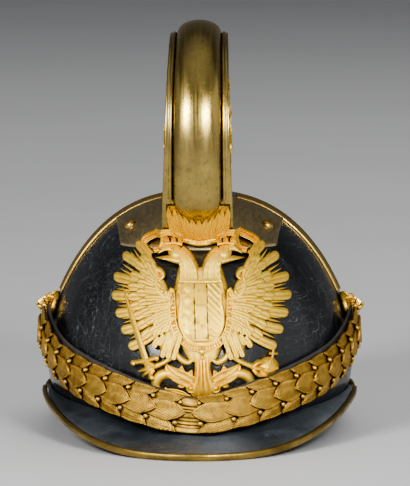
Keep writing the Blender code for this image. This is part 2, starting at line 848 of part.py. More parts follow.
def make_scale(name, side, start, pitch, material):
    """One leaf scale. Its tip points at the front and lies over the next scale."""

    def place(u, v, w):
        across = (2 * v - 1) * CHAIN_HALF_WIDTH
        full = pitch + SCALE_OVERLAP
        from_base = u * full * (1 - SCALE_SHOULDER_SHARE * abs(2 * v - 1) * u)
        out = scale_out(across, from_base, pitch) + w * SCALE_THICKNESS
        return chain_point(side, start + pitch - from_base, across, out)

    return slab(name, 2, 4, place, material)


def make_chain(material):
    halves = (
        ("right", 1, CHAIN_RIGHT_START, CHAIN_RIGHT_UNITS),
        ("left", -1, CHAIN_LEFT_START, CHAIN_LEFT_UNITS),
    )
    for word, side, start, units in halves:
        pitch = (CHAIN_END - start) / units
        for unit in range(units):
            make_scale(f"scale_{word}_{unit + 1}", side, start + unit * pitch, pitch, material)


def make_hook_plate(material):
    """The plain ribbed end plate of the left half, which the right half's end covers."""

    def place(u, v, w):
        length = lerp(-SCALE_OVERLAP / 3, CHAIN_LEFT_START - 2 * CLEARANCE, u)
        across = (2 * v - 1) * HOOK_PLATE_HALF_WIDTH
        return chain_point(-1, length, across, CLEARANCE + w * SCALE_THICKNESS)

    return slab("hook_plate", 2, 2, place, material)


# Eagle badge


def badge_place(point, side):
    return (side * point.across * BADGE_HALF_WIDTH, point.up * BADGE_HEIGHT)


def feather_points(side):
    """Rounded feather ends with a notch between each and the next."""
    root = badge_place(WING_ROOT, side)
    tips = [badge_place(point, side) for point in FEATHER_TIPS]
    points = []
    for index, (x, z) in enumerate(tips):
        reach = math.hypot(x - root[0], z - root[1])
        dx, dz = (x - root[0]) / reach, (z - root[1]) / reach
        for turn in (70, 0, -70):
            spin = math.radians(turn) * side
            bx = dx * math.cos(spin) - dz * math.sin(spin)
            bz = dx * math.sin(spin) + dz * math.cos(spin)
            points.append((
                x - dx * FEATHER_HALF_WIDTH + bx * FEATHER_HALF_WIDTH,
                z - dz * FEATHER_HALF_WIDTH + bz * FEATHER_HALF_WIDTH,
            ))
        if index < len(tips) - 1:
            mx = (x + tips[index + 1][0]) / 2
            mz = (z + tips[index + 1][1]) / 2
            reach = math.hypot(mx - root[0], mz - root[1])
            back = FEATHER_NOTCH / reach
            points.append((lerp(mx, root[0], back), lerp(mz, root[1], back)))
    return points


def orb_points(side):
    x, z = badge_place(ORB_CENTRE, side)
    points = []
    for turn in range(125, -156, -40):
        spin = math.radians(turn)
        points.append((x + side * ORB_RADIUS * math.cos(spin), z + ORB_RADIUS * math.sin(spin)))
    return points


def badge_half(side):
    points = [badge_place(point, side) for point in CROWN_AND_HEAD]
    points += feather_points(side)
    points += [badge_place(point, side) for point in LEG]
    points += orb_points(side)
    points += [badge_place(point, side) for point in SCROLL_AND_TAIL]
    return points


def badge_outline():
    outline = [(0.0, BADGE_HEIGHT)]
    outline += badge_half(1)
    outline += [(0.0, 0.0)]
    outline += reversed(badge_half(-1))
    return outline


def badge_hole():
    right = [badge_place(point, 1) for point in NECK_HOLE]
    left = [badge_place(point, -1) for point in reversed(NECK_HOLE)]
    return right + left


def flat_outline(name, rings, half_thickness):
    """A flat plate from closed outlines in the XY plane, as a welded mesh."""
    curve = bpy.data.curves.new(name, "CURVE")
    curve.dimensions = "2D"
    curve.fill_mode = "BOTH"
    curve.extrude = half_thickness
    for ring in rings:
        spline = curve.splines.new("POLY")
        spline.points.add(len(ring) - 1)
        for point, (x, y) in zip(spline.points, ring):
            point.co = (x, y, 0, 1)
        spline.use_cyclic_u = True
    guide = bpy.data.objects.new(name + "_guide", curve)
    helmet.objects.link(guide)
    graph = bpy.context.evaluated_depsgraph_get()
    mesh = bpy.data.meshes.new_from_object(guide.evaluated_get(graph))
    bpy.data.objects.remove(guide)
    bm = bmesh.new()
    bm.from_mesh(mesh)
    bmesh.ops.remove_doubles(bm, verts=bm.verts, dist=1e-6)
    return bm


def cut_across(bm, normal, distance):
    geometry = bm.verts[:] + bm.edges[:] + bm.faces[:]
    bmesh.ops.bisect_plane(bm, geom=geometry, plane_co=normal * distance, plane_no=normal)


def cut_into_cells(bm, cell, low, high):
    """Cuts a flat plate along a square grid, so that it can be bent."""
    for axis in (0, 1):
        count = math.ceil((high[axis] - low[axis]) / cell)
        for step in range(1, count):
            cut_across(bm, Vector((1 - axis, axis, 0)), lerp(low[axis], high[axis], step / count))


def badge_seat(z):
    """Stands off the skull, and further off where the badge lies over the front plate."""
    start = WIDEST_Z + PLATE_FRONT_LEVEL - BADGE_STEP_START
    share = min(max((z - start) / BADGE_STEP_LENGTH, 0), 1)
    return lerp(CLEARANCE, PLATE_SEAT, share)


def badge_rise(x, z):
    """Height of the relief over the plate: the shield on the breast swells."""
    dx = x / SHIELD_HALF_WIDTH
    dz = (z - SHIELD_CENTRE.up * BADGE_HEIGHT) / SHIELD_HALF_HEIGHT
    return BADGE_SHIELD_RISE * max(1 - dx**4 - dz**4, 0) ** 0.5


def comb_front_y(z):
    """The comb's front face below its ridge, at height z."""
    foot, ridge_end = comb_at(0.0), comb_at(RIDGE_START)
    return lerp(foot.y, ridge_end.y, max((z - foot.z) / (ridge_end.z - foot.z), 0))


def badge_point(x, z, out):
    """A point of the badge on the brow, or on the comb's foot where that stands in front."""
    point = brow_point(x, z, badge_seat(z) + out)
    beside = min(max((abs(x) - BADGE_BEND_X) / BADGE_THICKNESS, 0), 1)
    on_comb = min(comb_front_y(z) - CLEARANCE - out, point.y)
    point.y = lerp(on_comb, point.y, beside)
    return point


def make_eagle_badge(material):
    bm = flat_outline("eagle_badge", [badge_outline(), badge_hole()], 0.5)
    low = (-BADGE_HALF_WIDTH, 0.0)
    high = (BADGE_HALF_WIDTH, BADGE_HEIGHT)
    cut_into_cells(bm, BADGE_CELL, low, high)
    for bend in (BADGE_BEND_X, BADGE_BEND_X + BADGE_THICKNESS):
        cut_across(bm, Vector((1, 0, 0)), bend - BADGE_OFFSET)
        cut_across(bm, Vector((-1, 0, 0)), bend + BADGE_OFFSET)
    bmesh.ops.triangulate(bm, faces=bm.faces[:])
    for vert in bm.verts:
        x, up, w = vert.co.x, vert.co.y, vert.co.z + 0.5
        z = BADGE_TAIL_Z + up
        vert.co = badge_point(x + BADGE_OFFSET, z, w * (BADGE_THICKNESS + badge_rise(x, up)))
    return add_object("eagle_badge", mesh_from(bm, "eagle_badge"), material)


# The helmet

for obj in list(bpy.data.objects):
    bpy.data.objects.remove(obj)

helmet = bpy.data.collections.new("crested_helmet")
bpy.context.scene.collection.children.link(helmet)

leather = black_leather()
brass = polished_brass()
olive = olive_brass()
gilt = matt_gilt()
chain = chain_gilt()

make_skull(leather)
make_peak("front_peak", FRONT, leather)
make_peak("neck_guard", REAR, leather)
make_trim("peak_trim", FRONT, olive)
make_trim("guard_trim", REAR, olive)
make_front_plate(olive)
make_comb_ridge(brass)
make_eagle_badge(gilt)
for word, side in (("left", -1), ("right", 1)):
    make_band("band_" + word, side, gilt)
    make_rivet("plate_rivet_" + word, side, gilt)
    make_comb_side("comb_side_" + word, side, leather)
    make_comb_relief("comb_relief_" + word, side, gilt)
    make_boss("boss_" + word, side, gilt)
    make_strap("chin_strap_" + word, side, leather)
make_hook_plate(chain)
make_chain(chain)
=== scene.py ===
"""The finished crested helmet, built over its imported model.

Metres, +Z up. The front faces -Y, and left and right are as seen from the front, with
right at +X.
"""

import math

import bpy
import numpy as np
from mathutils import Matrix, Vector


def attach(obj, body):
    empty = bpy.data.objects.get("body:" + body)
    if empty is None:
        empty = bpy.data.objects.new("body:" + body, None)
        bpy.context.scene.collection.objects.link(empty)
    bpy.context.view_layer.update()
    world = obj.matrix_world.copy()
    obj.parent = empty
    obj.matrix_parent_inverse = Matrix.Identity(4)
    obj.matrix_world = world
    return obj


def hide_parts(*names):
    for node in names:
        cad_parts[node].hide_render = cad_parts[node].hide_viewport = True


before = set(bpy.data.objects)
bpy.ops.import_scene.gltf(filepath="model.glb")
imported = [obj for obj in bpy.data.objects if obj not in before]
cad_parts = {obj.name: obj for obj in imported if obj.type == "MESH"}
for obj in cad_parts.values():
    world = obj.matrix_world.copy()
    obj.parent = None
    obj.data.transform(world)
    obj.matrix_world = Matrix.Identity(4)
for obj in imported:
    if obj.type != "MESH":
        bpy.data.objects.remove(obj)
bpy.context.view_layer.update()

# Skull. The cap of the helmet is one egg-shaped shell of thick leather, pressed over a
# block, blackened and lacquered. Age has crackled the lacquer and left pale hairline
# scratches in it.

SKULL_HALF_WIDTH = 0.0930
SKULL_FRONT = 0.1180
SKULL_REAR = 0.1120
SKULL_HEIGHT = 0.0945
SKULL_SWELL = 2.5
SKULL_SHOULDER = 1.5
SKULL_WALL = 0.0025
SKULL_EDGE = 0.0005
SKULL_SIDES = 120
SKULL_RINGS = 66
RINGS_BELOW = 6
RIM_END_Z = 0.0140
RIM_SIDE_Z = 0.0200
WIDEST_Z = 0.0450
CENTRE_Y = 0.0060
CLEARANCE = 0.0003

MERGE = (bpy.ops.mesh.remove_doubles, {"threshold": 0.00002})
TURN_OUTWARD = (bpy.ops.mesh.normals_make_consistent, {"inside": False})
CRACK_COLOUR = (0.060, 0.064, 0.066, 1)
SCRATCH_COLOUR = (0.115, 0.122, 0.128, 1)


def lerp(start, end, share):
    return start + (end - start) * share


def girth(share):
    """Plan size at a share of the skull's height, as a share of the widest."""
    if share < 0:
        return math.sqrt(1 - share**2)
    return max(1 - share**SKULL_SHOULDER, 0) ** (1 / SKULL_SWELL)


def skull_spread(x, y):
    """Plan distance from the skull's centre as a share of its widest outline."""
    length = SKULL_FRONT if y < CENTRE_Y else SKULL_REAR
    return math.hypot(x / SKULL_HALF_WIDTH, (y - CENTRE_Y) / length)


def dome_point(x, y):
    share = (1 - min(skull_spread(x, y), 1) ** SKULL_SWELL) ** (1 / SKULL_SHOULDER)
    return Vector((x, y, WIDEST_Z + SKULL_HEIGHT * share))


def rim_point(angle, z):
    """The skull below its widest level, at an angle from the front."""
    lean = girth((z - WIDEST_Z) / SKULL_HEIGHT)
    length = (SKULL_FRONT if math.cos(angle) > 0 else SKULL_REAR) * lean
    return Vector((SKULL_HALF_WIDTH * lean * math.sin(angle), CENTRE_Y - length * math.cos(angle), z))


def deselect():
    bpy.ops.object.select_all(action="DESELECT")


def only(piece):
    """Selects one object and makes it the active one."""
    deselect()
    piece.select_set(True)
    bpy.context.view_layer.objects.active = piece


def start_piece(name):
    """Names the primitive that was just added."""
    piece = bpy.context.object
    piece.name = name
    piece.data.name = name
    return piece


def edit(piece, *steps):
    """Runs mesh operators on the whole of a piece. A step is an operator and its settings."""
    only(piece)
    bpy.ops.object.mode_set(mode="EDIT")
    bpy.ops.mesh.select_all(action="SELECT")
    for operator, settings in steps:
        operator(**settings)
    bpy.ops.object.mode_set(mode="OBJECT")


def apply_modifier(piece, kind, **settings):
    only(piece)
    modifier = piece.modifiers.new(kind.lower(), kind)
    for key, value in settings.items():
        setattr(modifier, key, value)
    bpy.ops.object.modifier_apply(modifier=modifier.name)


def finish_piece(piece, material, node, smooth=38):
    """Gives a piece its finish, and puts it in the place of its CAD node."""
    only(piece)
    piece.data.materials.clear()
    piece.data.materials.append(material)
    bpy.ops.object.shade_smooth_by_angle(angle=math.radians(smooth))
    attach(piece, "root")
    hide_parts(node)


def feed(tree, node, **inputs):
    """Gives a shader node its inputs, named here, each a value or another node's output."""
    for key, value in inputs.items():
        socket = node.inputs[int(key[1:]) if key[1:].isdigit() else key.replace("_", " ")]
        if isinstance(value, bpy.types.NodeSocket):
            tree.links.new(value, socket)
        else:
            socket.default_value = value


def add_node(tree, kind, settings=(), **inputs):
    made = tree.nodes.new("ShaderNode" + kind)
    for key, value in dict(settings).items():
        setattr(made, key, value)
    feed(tree, made, **inputs)
    return made


def maths(tree, operation, first, second=0.0, third=0.0):
    return add_node(tree, "Math", {"operation": operation}, i0=first, i1=second, i2=third).outputs[0]


def times(tree, first, second):
    return maths(tree, "MULTIPLY", first, second)


def ramp(tree, fac, low, high, start=0.0, end=1.0):
    """Goes from start to end as fac goes from low to high."""
    limits = {"From_Min": low, "From_Max": high, "To_Min": start, "To_Max": end}
    return add_node(tree, "MapRange", {"clamp": True}, Value=fac, **limits).outputs[0]


def blend_colours(tree, fac, first, second):
    return add_node(tree, "Mix", {"data_type": "RGBA"}, Factor=fac, i6=first, i7=second).outputs[2]


def noise(tree, place, scale, detail=3.0, roughness=0.5, distortion=0.0):
    looks = {"Scale": scale, "Detail": detail, "Roughness": roughness, "Distortion": distortion}
    return add_node(tree, "TexNoise", Vector=place, **looks).outputs[0]


def stretched(tree, place, scale, turn=(0, 0, 0)):
    return add_node(tree, "Mapping", Vector=place, Scale=scale, Rotation=turn).outputs[0]


def new_group(name, inputs, outputs):
    """A shader node group. A named input with no value is a vector, and outputs are numbers."""
    group = bpy.data.node_groups.new(name, "ShaderNodeTree")
    for label, value in inputs:
        kind = "NodeSocketVector" if value is None else "NodeSocketFloat"
        socket = group.interface.new_socket(label, in_out="INPUT", socket_type=kind)
        if value is not None:
            socket.default_value = value
    for label in outputs:
        group.interface.new_socket(label, in_out="OUTPUT", socket_type="NodeSocketFloat")
    return group, group.nodes.new("NodeGroupInput").outputs, group.nodes.new("NodeGroupOutput")


def new_material(name):
    """A material, with its node tree, its surface and the place on the piece."""
    material = bpy.data.materials.new(name)
    material.use_nodes = True
    tree = material.node_tree
    return material, tree, tree.nodes["Principled BSDF"], add_node(tree, "TexCoord").outputs["Object"]


def hairlines(tree, place, scale, turn):
    """Thin wandering scratches: the lines where a stretched noise passes its middle."""
    field = noise(tree, stretched(tree, place, scale, turn), 1.0, 1.5, 0.5, 0.9)
    from_middle = maths(tree, "ABSOLUTE", maths(tree, "SUBTRACT", field, 0.5))
    return ramp(tree, from_middle, 0.0, 0.010, 1.0, 0.0)


def make_leather_skin():
    """Lacquered leather: fine crackle, hairline scratches, grain and dull patches."""
    inputs = (("Place", None), ("Crackle Scale", 110.0), ("Scratches", 1.0))
    tree, given, end = new_group("leather_skin", inputs, ("Crackle", "Scratch", "Patch", "Height"))
    place = given["Place"]
    wander = add_node(tree, "TexNoise", Vector=place, Scale=120.0, Detail=3.0).outputs[1]
    centred = add_node(tree, "VectorMath", {"operation": "SUBTRACT"}, i0=wander, i1=(0.5, 0.5, 0.5))
    moved = add_node(tree, "VectorMath", {"operation": "SCALE"}, i0=centred.outputs[0], Scale=0.006)
    warped = add_node(tree, "VectorMath", {"operation": "ADD"}, i0=place, i1=moved.outputs[0]).outputs[0]
    edges = {"feature": "DISTANCE_TO_EDGE"}
    cells = add_node(tree, "TexVoronoi", edges, Vector=warped, Scale=given["Crackle Scale"]).outputs[0]
    line = ramp(tree, cells, 0.01, 0.07, 1.0, 0.0)
    crackle = times(tree, line, ramp(tree, noise(tree, place, 26.0), 0.42, 0.64))
    scratches = 0.0
    for scale, turn, gap_scale in (
        ((60, 210, 30), (0.4, 0.2, 0.9), 31.0),
        ((190, 50, 40), (0.9, -0.7, 0.3), 23.0),
        ((45, 60, 260), (-0.3, 0.5, -0.8), 38.0),
    ):
        broken = ramp(tree, noise(tree, place, gap_scale, 2.0), 0.46, 0.62)
        found = times(tree, hairlines(tree, place, scale, turn), broken)
        scratches = maths(tree, "MAXIMUM", scratches, found)
    scratch = times(tree, scratches, given["Scratches"])
    grain = add_node(tree, "TexVoronoi", Vector=place, Scale=900.0).outputs[0]
    dents = times(tree, noise(tree, place, 70.0, 5.0, 0.6), 0.9)
    grown = maths(tree, "ADD", times(tree, grain, 0.14), dents)
    cut = maths(tree, "ADD", times(tree, crackle, 0.30), times(tree, scratch, 0.15))
    height = maths(tree, "SUBTRACT", grown, cut)
    feed(tree, end, Crackle=crackle, Scratch=scratch, Patch=noise(tree, place, 14.0, 5.0, 0.6), Height=height)
    return tree


leather_skin = make_leather_skin()


def make_leather(name, deep, pale, crackle_scale, scratches, gloss, bump):
    """Black lacquered leather. deep and pale are its colours, gloss its least roughness."""
    material, tree, surface, place = new_material(name)
    own = {"Place": place, "Crackle_Scale": crackle_scale, "Scratches": scratches}
    skin = add_node(tree, "Group", {"node_tree": leather_skin}, **own).outputs
    patch, crackle = skin["Patch"], skin["Crackle"]
    colour = blend_colours(tree, ramp(tree, patch, 0.40, 0.66), (*deep, 1), (*pale, 1))
    colour = blend_colours(tree, times(tree, crackle, 0.20), colour, CRACK_COLOUR)
    colour = blend_colours(tree, times(tree, skin["Scratch"], 0.75), colour, SCRATCH_COLOUR)
    dull = ramp(tree, patch, 0.35, 0.70, gloss, gloss + 0.20)
    dull = maths(tree, "ADD", dull, times(tree, crackle, 0.25))
    coat = ramp(tree, patch, 0.40, 0.70, 0.55, 0.15)
    relief = add_node(tree, "Bump", Strength=bump, Distance=0.0004, Height=skin["Height"]).outputs[0]
    feed(tree, surface, Base_Color=colour, Roughness=dull, Coat_Weight=coat, Normal=relief)
    feed(tree, surface, Coat_Roughness=0.16, Specular_IOR_Level=0.5)
    return material


skull_leather = make_leather(
    "skull_leather", deep=(0.002, 0.0027, 0.0036), pale=(0.0075, 0.009, 0.011),
    crackle_scale=210, scratches=1.0, gloss=0.24, bump=0.60,
)

ring_angle = math.pi / SKULL_RINGS
cut_z = -math.sin((RINGS_BELOW + 0.5) * ring_angle)
deselect()
bpy.ops.mesh.primitive_uv_sphere_add(segments=SKULL_SIDES, ring_count=SKULL_RINGS, radius=1.0)
skull = start_piece("skull_shell")
edit(skull, (bpy.ops.mesh.bisect, {"plane_co": (0, 0, cut_z), "plane_no": (0, 0, 1), "clear_inner": True}))
for vert in skull.data.vertices:
    x, y, z = vert.co
    if z > -0.001:
        length = SKULL_FRONT if y < 0 else SKULL_REAR
        vert.co = dome_point(x * SKULL_HALF_WIDTH, CENTRE_Y + y * length)
    else:
        angle = math.atan2(x, -y)
        rim = lerp(RIM_SIDE_Z, RIM_END_Z, math.cos(angle) ** 2)
        share = min(math.asin(-z) / (RINGS_BELOW * ring_angle), 1)
        vert.co = rim_point(angle, lerp(WIDEST_Z, rim, share))
edit(skull, MERGE, TURN_OUTWARD)
apply_modifier(skull, "SOLIDIFY", thickness=SKULL_WALL, offset=-1.0, use_even_offset=True)
apply_modifier(
    skull, "BEVEL", width=SKULL_EDGE, segments=2, limit_method="ANGLE", angle_limit=math.radians(60)
)
finish_piece(skull, skull_leather, "skull")

# Peaks. Two pieces of the same leather are stitched to the cap's rim, the front one over
# the eyes and the rear one over the neck. Their colour is paler and bluer than the cap's,
# a painted sheen, and they are crackled all over.


def dress(node, name, material, sharp=35, crease=0.85):
    """Makes a smooth, finished piece of a CAD node. It creases edges bent by sharp degrees."""
    piece = bpy.data.objects.new(name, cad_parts[node].data.copy())
    bpy.context.scene.collection.objects.link(piece)
    edit(
        piece,
        (bpy.ops.mesh.select_mode, {"type": "EDGE"}),
        MERGE,
        TURN_OUTWARD,
        (bpy.ops.mesh.tris_convert_to_quads,
         {"face_threshold": math.radians(50), "shape_threshold": math.radians(70)}),
        (bpy.ops.mesh.select_all, {"action": "DESELECT"}),
        (bpy.ops.mesh.edges_select_sharp, {"sharpness": math.radians(sharp)}),
        (bpy.ops.transform.edge_crease, {"value": crease}),
    )
    apply_modifier(piece, "SUBSURF", levels=2, render_levels=2)
    finish_piece(piece, material, node)
    return piece


# The peaks' paler, bluish colours are a painted sheen.
peak_leather = make_leather(
    "peak_leather", deep=(0.018, 0.0225, 0.028), pale=(0.08, 0.092, 0.102),
    crackle_scale=260, scratches=0.7, gloss=0.38, bump=1.0,
)
dress("front_peak", "front_peak_leather", peak_leather)
dress("neck_guard", "neck_guard_leather", peak_leather)

# Binding. A folded strip of brass grips the edge of each peak, hammered to a half round.
# It has gone olive in cloudy patches.


def make_worn_metal():
    """Old brass: cloudy tarnish, fine scratches along one way, and small dents."""
    inputs = (("Place", None), ("Tarnish Scale", 40.0), ("Scratch Place", None))
    tree, given, end = new_group("worn_metal", inputs, ("Tarnish", "Scratch", "Height"))
    place = given["Place"]
    cloud = ramp(tree, noise(tree, place, given["Tarnish Scale"], 6.0, 0.62), 0.38, 0.66)
    spots = ramp(tree, noise(tree, place, 420.0, 2.0), 0.60, 0.72)
    tarnish = maths(tree, "ADD", cloud, times(tree, spots, 0.35))
    scratch = ramp(tree, noise(tree, given["Scratch Place"], 1.0, 4.0, 0.65), 0.42, 0.62)
    height = maths(tree, "ADD", noise(tree, place, 150.0), times(tree, scratch, 0.22))
    limited = add_node(tree, "Clamp", Value=tarnish).outputs[0]
    feed(tree, end, Tarnish=limited, Scratch=scratch, Height=height)
    return tree


def make_cast_relief():
    """Dark in a casting's hollows with patina and painted shade, rubbed bright on top, with fine veins."""
    inputs = (("Hollow", 0.0), ("Vein", 0.0), ("Place", None))
    tree, given, end = new_group("cast_relief", inputs, ("Dark", "Bright", "Height"))
    wave = maths(tree, "SINE", times(tree, given["Vein"], 2 * math.pi))
    veined = maths(tree, "GREATER_THAN", given["Vein"], 0.001)
    groove = times(tree, ramp(tree, wave, 0.2, -1.0), veined)
    grime = ramp(tree, noise(tree, given["Place"], 260.0), 0.3, 0.7, -0.16, 0.16)
    deep = maths(tree, "ADD", maths(tree, "MULTIPLY_ADD", groove, 0.20, given["Hollow"]), grime)
    # Dark is the patina and painted shade in the hollows, bright the rubbed tops.
    dark, bright = ramp(tree, deep, 0.46, 0.86), ramp(tree, deep, 0.36, 0.02)
    feed(tree, end, Dark=dark, Bright=bright, Height=times(tree, groove, -1.0))
    return tree


worn_metal = make_worn_metal()
cast_relief = make_cast_relief()


def make_brass(
    name, clean, tarnished, rough, dull, bump=0.25, grain_scale=(300, 300, 300), tarnish_scale=40.0,
    crevice=None, bright=None,
):
    """Brass or gilt metal. crevice is its patina and painted shade in hollows, bright its rubbed tops.

    rough and dull are its roughness where it is clean and where it is tarnished.
    """
    material, tree, surface, place = new_material(name)
    own = {"Tarnish_Scale": tarnish_scale, "Scratch_Place": stretched(tree, place, grain_scale)}
    wear = add_node(tree, "Group", {"node_tree": worn_metal}, Place=place, **own).outputs
    colour = blend_colours(tree, wear["Tarnish"], (*clean, 1), (*tarnished, 1))
    roughness = ramp(tree, wear["Tarnish"], 0.0, 1.0, rough, dull)
    roughness = maths(tree, "ADD", roughness, times(tree, wear["Scratch"], 0.10))
    height = wear["Height"]
    if crevice:
        marks = {}
        for mark in ("Hollow", "Vein"):
            kept = add_node(tree, "Attribute", {"attribute_name": mark.lower()})
            marks[mark] = kept.outputs["Fac"]
        cast = add_node(tree, "Group", {"node_tree": cast_relief}, Place=place, **marks).outputs
        colour = blend_colours(tree, times(tree, cast["Bright"], 0.7), colour, (*bright, 1))
        # The hollows take patina and painted shade in the crevice colour.
        colour = blend_colours(tree, cast["Dark"], colour, (*crevice, 1))
        roughness = maths(tree, "ADD", roughness, times(tree, cast["Dark"], 0.35))
        height = maths(tree, "ADD", height, times(tree, cast["Height"], 1.1))
    relief = add_node(tree, "Bump", Strength=bump, Distance=0.0003, Height=height).outputs[0]
    feed(tree, surface, Metallic=1.0, Base_Color=colour, Roughness=roughness, Normal=relief)
    return material


binding_brass = make_brass(
    "binding_brass", clean=(0.4, 0.275, 0.08), tarnished=(0.165, 0.11, 0.032),
    rough=0.28, dull=0.46, bump=0.4,
)
dress("peak_trim", "peak_binding", binding_brass, crease=0.0)
dress("guard_trim", "guard_binding", binding_brass, crease=0.0)

# Front plate. A thin brass sheet is bent over the crown under the front of the comb, and a
# round-headed rivet holds each side. It is dark and satin, brushed from front to rear.

RIVET_SWELL = 1.75

plate_brass = make_brass(
    "plate_brass", clean=(0.56, 0.44, 0.24), tarnished=(0.39, 0.305, 0.165),
    rough=0.32, dull=0.46, grain_scale=(500, 25, 500), bump=0.2,
)
dress("front_plate", "front_plate_sheet", plate_brass)


def points_of(piece):
    places = np.zeros(len(piece.data.vertices) * 3)
    piece.data.vertices.foreach_get("co", places)
    return places.reshape(-1, 3)


rivet_gilt = make_brass(
    "rivet_gilt", clean=(0.66, 0.43, 0.13), tarnished=(0.38, 0.23, 0.065),
    rough=0.28, dull=0.42, grain_scale=(200, 200, 200),
)
for word in ("left", "right"):
    rivet = dress("plate_rivet_" + word, "plate_rivet_head_" + word, rivet_gilt, sharp=60)
    swell = {"value": (RIVET_SWELL,) * 3, "center_override": tuple(points_of(rivet).mean(0))}
    edit(rivet, (bpy.ops.transform.resize, swell))

# Band. A brass strip runs from ear to ear over the crown in two halves that end at the
# comb. Each edge is rolled to a bead, and the lion bosses hold its lower ends.

band_gilt = make_brass(
    "band_gilt", clean=(0.66, 0.45, 0.13), tarnished=(0.4, 0.26, 0.075),
    rough=0.26, dull=0.44, grain_scale=(40, 400, 40),
)
for word in ("left", "right"):
    dress("band_" + word, "band_strip_" + word, band_gilt, sharp=75)

# Comb. Its two side walls are black leather, and a gilt brass spine closes it above: a flat
# strip with a half-round roll along the middle, raised in one piece and brushed along.

wall_leather = make_leather(
    "wall_leather", deep=(0.006, 0.007, 0.009), pale=(0.015, 0.017, 0.02),
    crackle_scale=90, scratches=0.7, gloss=0.34, bump=0.6,
)
for word in ("left", "right"):
    dress("comb_side_" + word, "comb_wall_" + word, wall_leather)

COMB_RISE = 0.1005
COMB_HALF_WIDTH = 0.0216
SPINE_SHARE = 0.965
SPINE_WALL = 0.0021
SPINE_STEPS = 192
SPINE_MIDDLE = 22
SPINE_TONE = 0.40
GROOVE_TONE = 0.55
ROLL_HALF_WIDTH = 0.0140
ROLL_HEIGHT = 0.0078
ROLL_START = 0.0170
ROLL_ROUNDING = 0.0130
ROLL_COLUMNS = 12
LEAST_ROLL = 0.25
BEAD_START = 0.0100
BEAD_GROWTH = 0.0040
EDGE_WIDTH = 0.0005
EDGE_DROP = 0.0004
# Along the comb: degrees about the skull's centre from the front, then shares of its rise,
# of its width and of the roll's width.
COMB_LINE = (
    (43, 0.025, 1, 1), (45.5, 0.2, 1, 1), (48.5, 0.4, 0.97, 1), (52.5, 0.595, 0.93, 0.99),
    (57.5, 0.765, 0.9, 0.99), (63.5, 0.9, 0.87, 0.97), (70, 0.975, 0.84, 0.94), (76.5, 1, 0.83, 0.93),
    (83, 0.985, 0.82, 0.92), (90, 0.93, 0.81, 0.91), (99, 0.81, 0.8, 0.9), (110, 0.64, 0.79, 0.89),
    (121.5, 0.47, 0.77, 0.87), (134, 0.315, 0.75, 0.85), (146.5, 0.195, 0.73, 0.83),
    (158, 0.12, 0.71, 0.81), (167, 0.08, 0.69, 0.79),
)
# Beside the roll: how far out, how high and how dark, from its groove over a bead to the flat.
BEAD = (
    (0.0005, -0.0004, 1), (0.0009, 0.0001, 0.6), (0.0013, 0.0005, 0), (0.0018, 0.0007, 0),
    (0.0023, 0.0005, 0), (0.0027, 0.0001, 0.4), (0.0031, 0, 0),
)


def through(values, share):
    """A smooth value at a share of the way through a list of numbers or points."""
    last = len(values) - 1
    position = min(max(share, 0.0), 1.0) * last
    index = min(int(position), last - 1)
    t = position - index
    a, b, c, d = (np.array(values[min(max(index + k, 0), last)], float) for k in (-1, 0, 1, 2))
    return 0.5 * (2 * b + (c - a) * t + (2 * a - 5 * b + 4 * c - d) * t**2 + (3 * b - a - 3 * c + d) * t**3)


def walked(places):
    """Distance from the first of some places to each of them, and the way on from each."""
    steps = np.linalg.norm(np.diff(places, axis=0), axis=1)
    ways = np.gradient(places, axis=0)
    ways /= np.maximum(np.linalg.norm(ways, axis=1), 1e-9)[:, None]
    return np.concatenate([[0], np.cumsum(steps)]), ways


def store(piece, name, values):
    """Keeps a number for each point of a piece, which its material reads."""
    kept = piece.data.attributes.new(name, "FLOAT", "POINT")
    kept.data.foreach_set("value", np.asarray(values, np.float32))


def move_points(piece, places):
    piece.data.vertices.foreach_set("co", np.asarray(places).ravel())
    piece.data.update()


def thick_grid(name, along, across):
    """A closed slab of a grid, with each point's row and column and whether it is on top."""
    bpy.ops.mesh.primitive_grid_add(x_subdivisions=along, y_subdivisions=across, size=2)
    piece = start_piece(name)
    edit(piece, (bpy.ops.mesh.extrude_region_move, {"TRANSFORM_OT_translate": {"value": (0, 0, 1)}}))
    x, y, z = points_of(piece).T
    rows = np.rint((x + 1) / 2 * along).astype(int)
    columns = np.rint((y + 1) / 2 * across).astype(int)
    return piece, rows, columns, z > 0.5


def dome_reach(direction):
    """How far the dome is from the skull's centre, in one direction."""
    near, far = 0.0, 0.25
    for _ in range(30):
        middle = (near + far) / 2
        point = direction * middle
        spread = skull_spread(point.x, CENTRE_Y + point.y)
        level = spread**SKULL_SWELL + (max(point.z, 0) / SKULL_HEIGHT) ** SKULL_SHOULDER
        near, far = (middle, far) if level < 1 else (near, middle)
    return near


def spine_section(column, half, reach, full, strip):
    """Width, height and darkness of the spine's section, some columns from its middle.

    full is the share of its height that the roll has there, and strip the bead's share.
    """
    if column <= ROLL_COLUMNS:
        turn = math.pi / 2 * column / ROLL_COLUMNS
        return reach * math.sin(turn), ROLL_HEIGHT * full * math.cos(turn), column == ROLL_COLUMNS
    beyond = column - ROLL_COLUMNS - 1
    if beyond < len(BEAD):
        beside, height, dark = BEAD[beyond]
        return reach + beside, height * strip, dark * strip
    flat = lerp(reach + BEAD[-1][0], half, 0.5)
    return ((flat, 0, 0), (half - EDGE_WIDTH, 0, 0), (half, -EDGE_DROP, 0))[beyond - len(BEAD)]


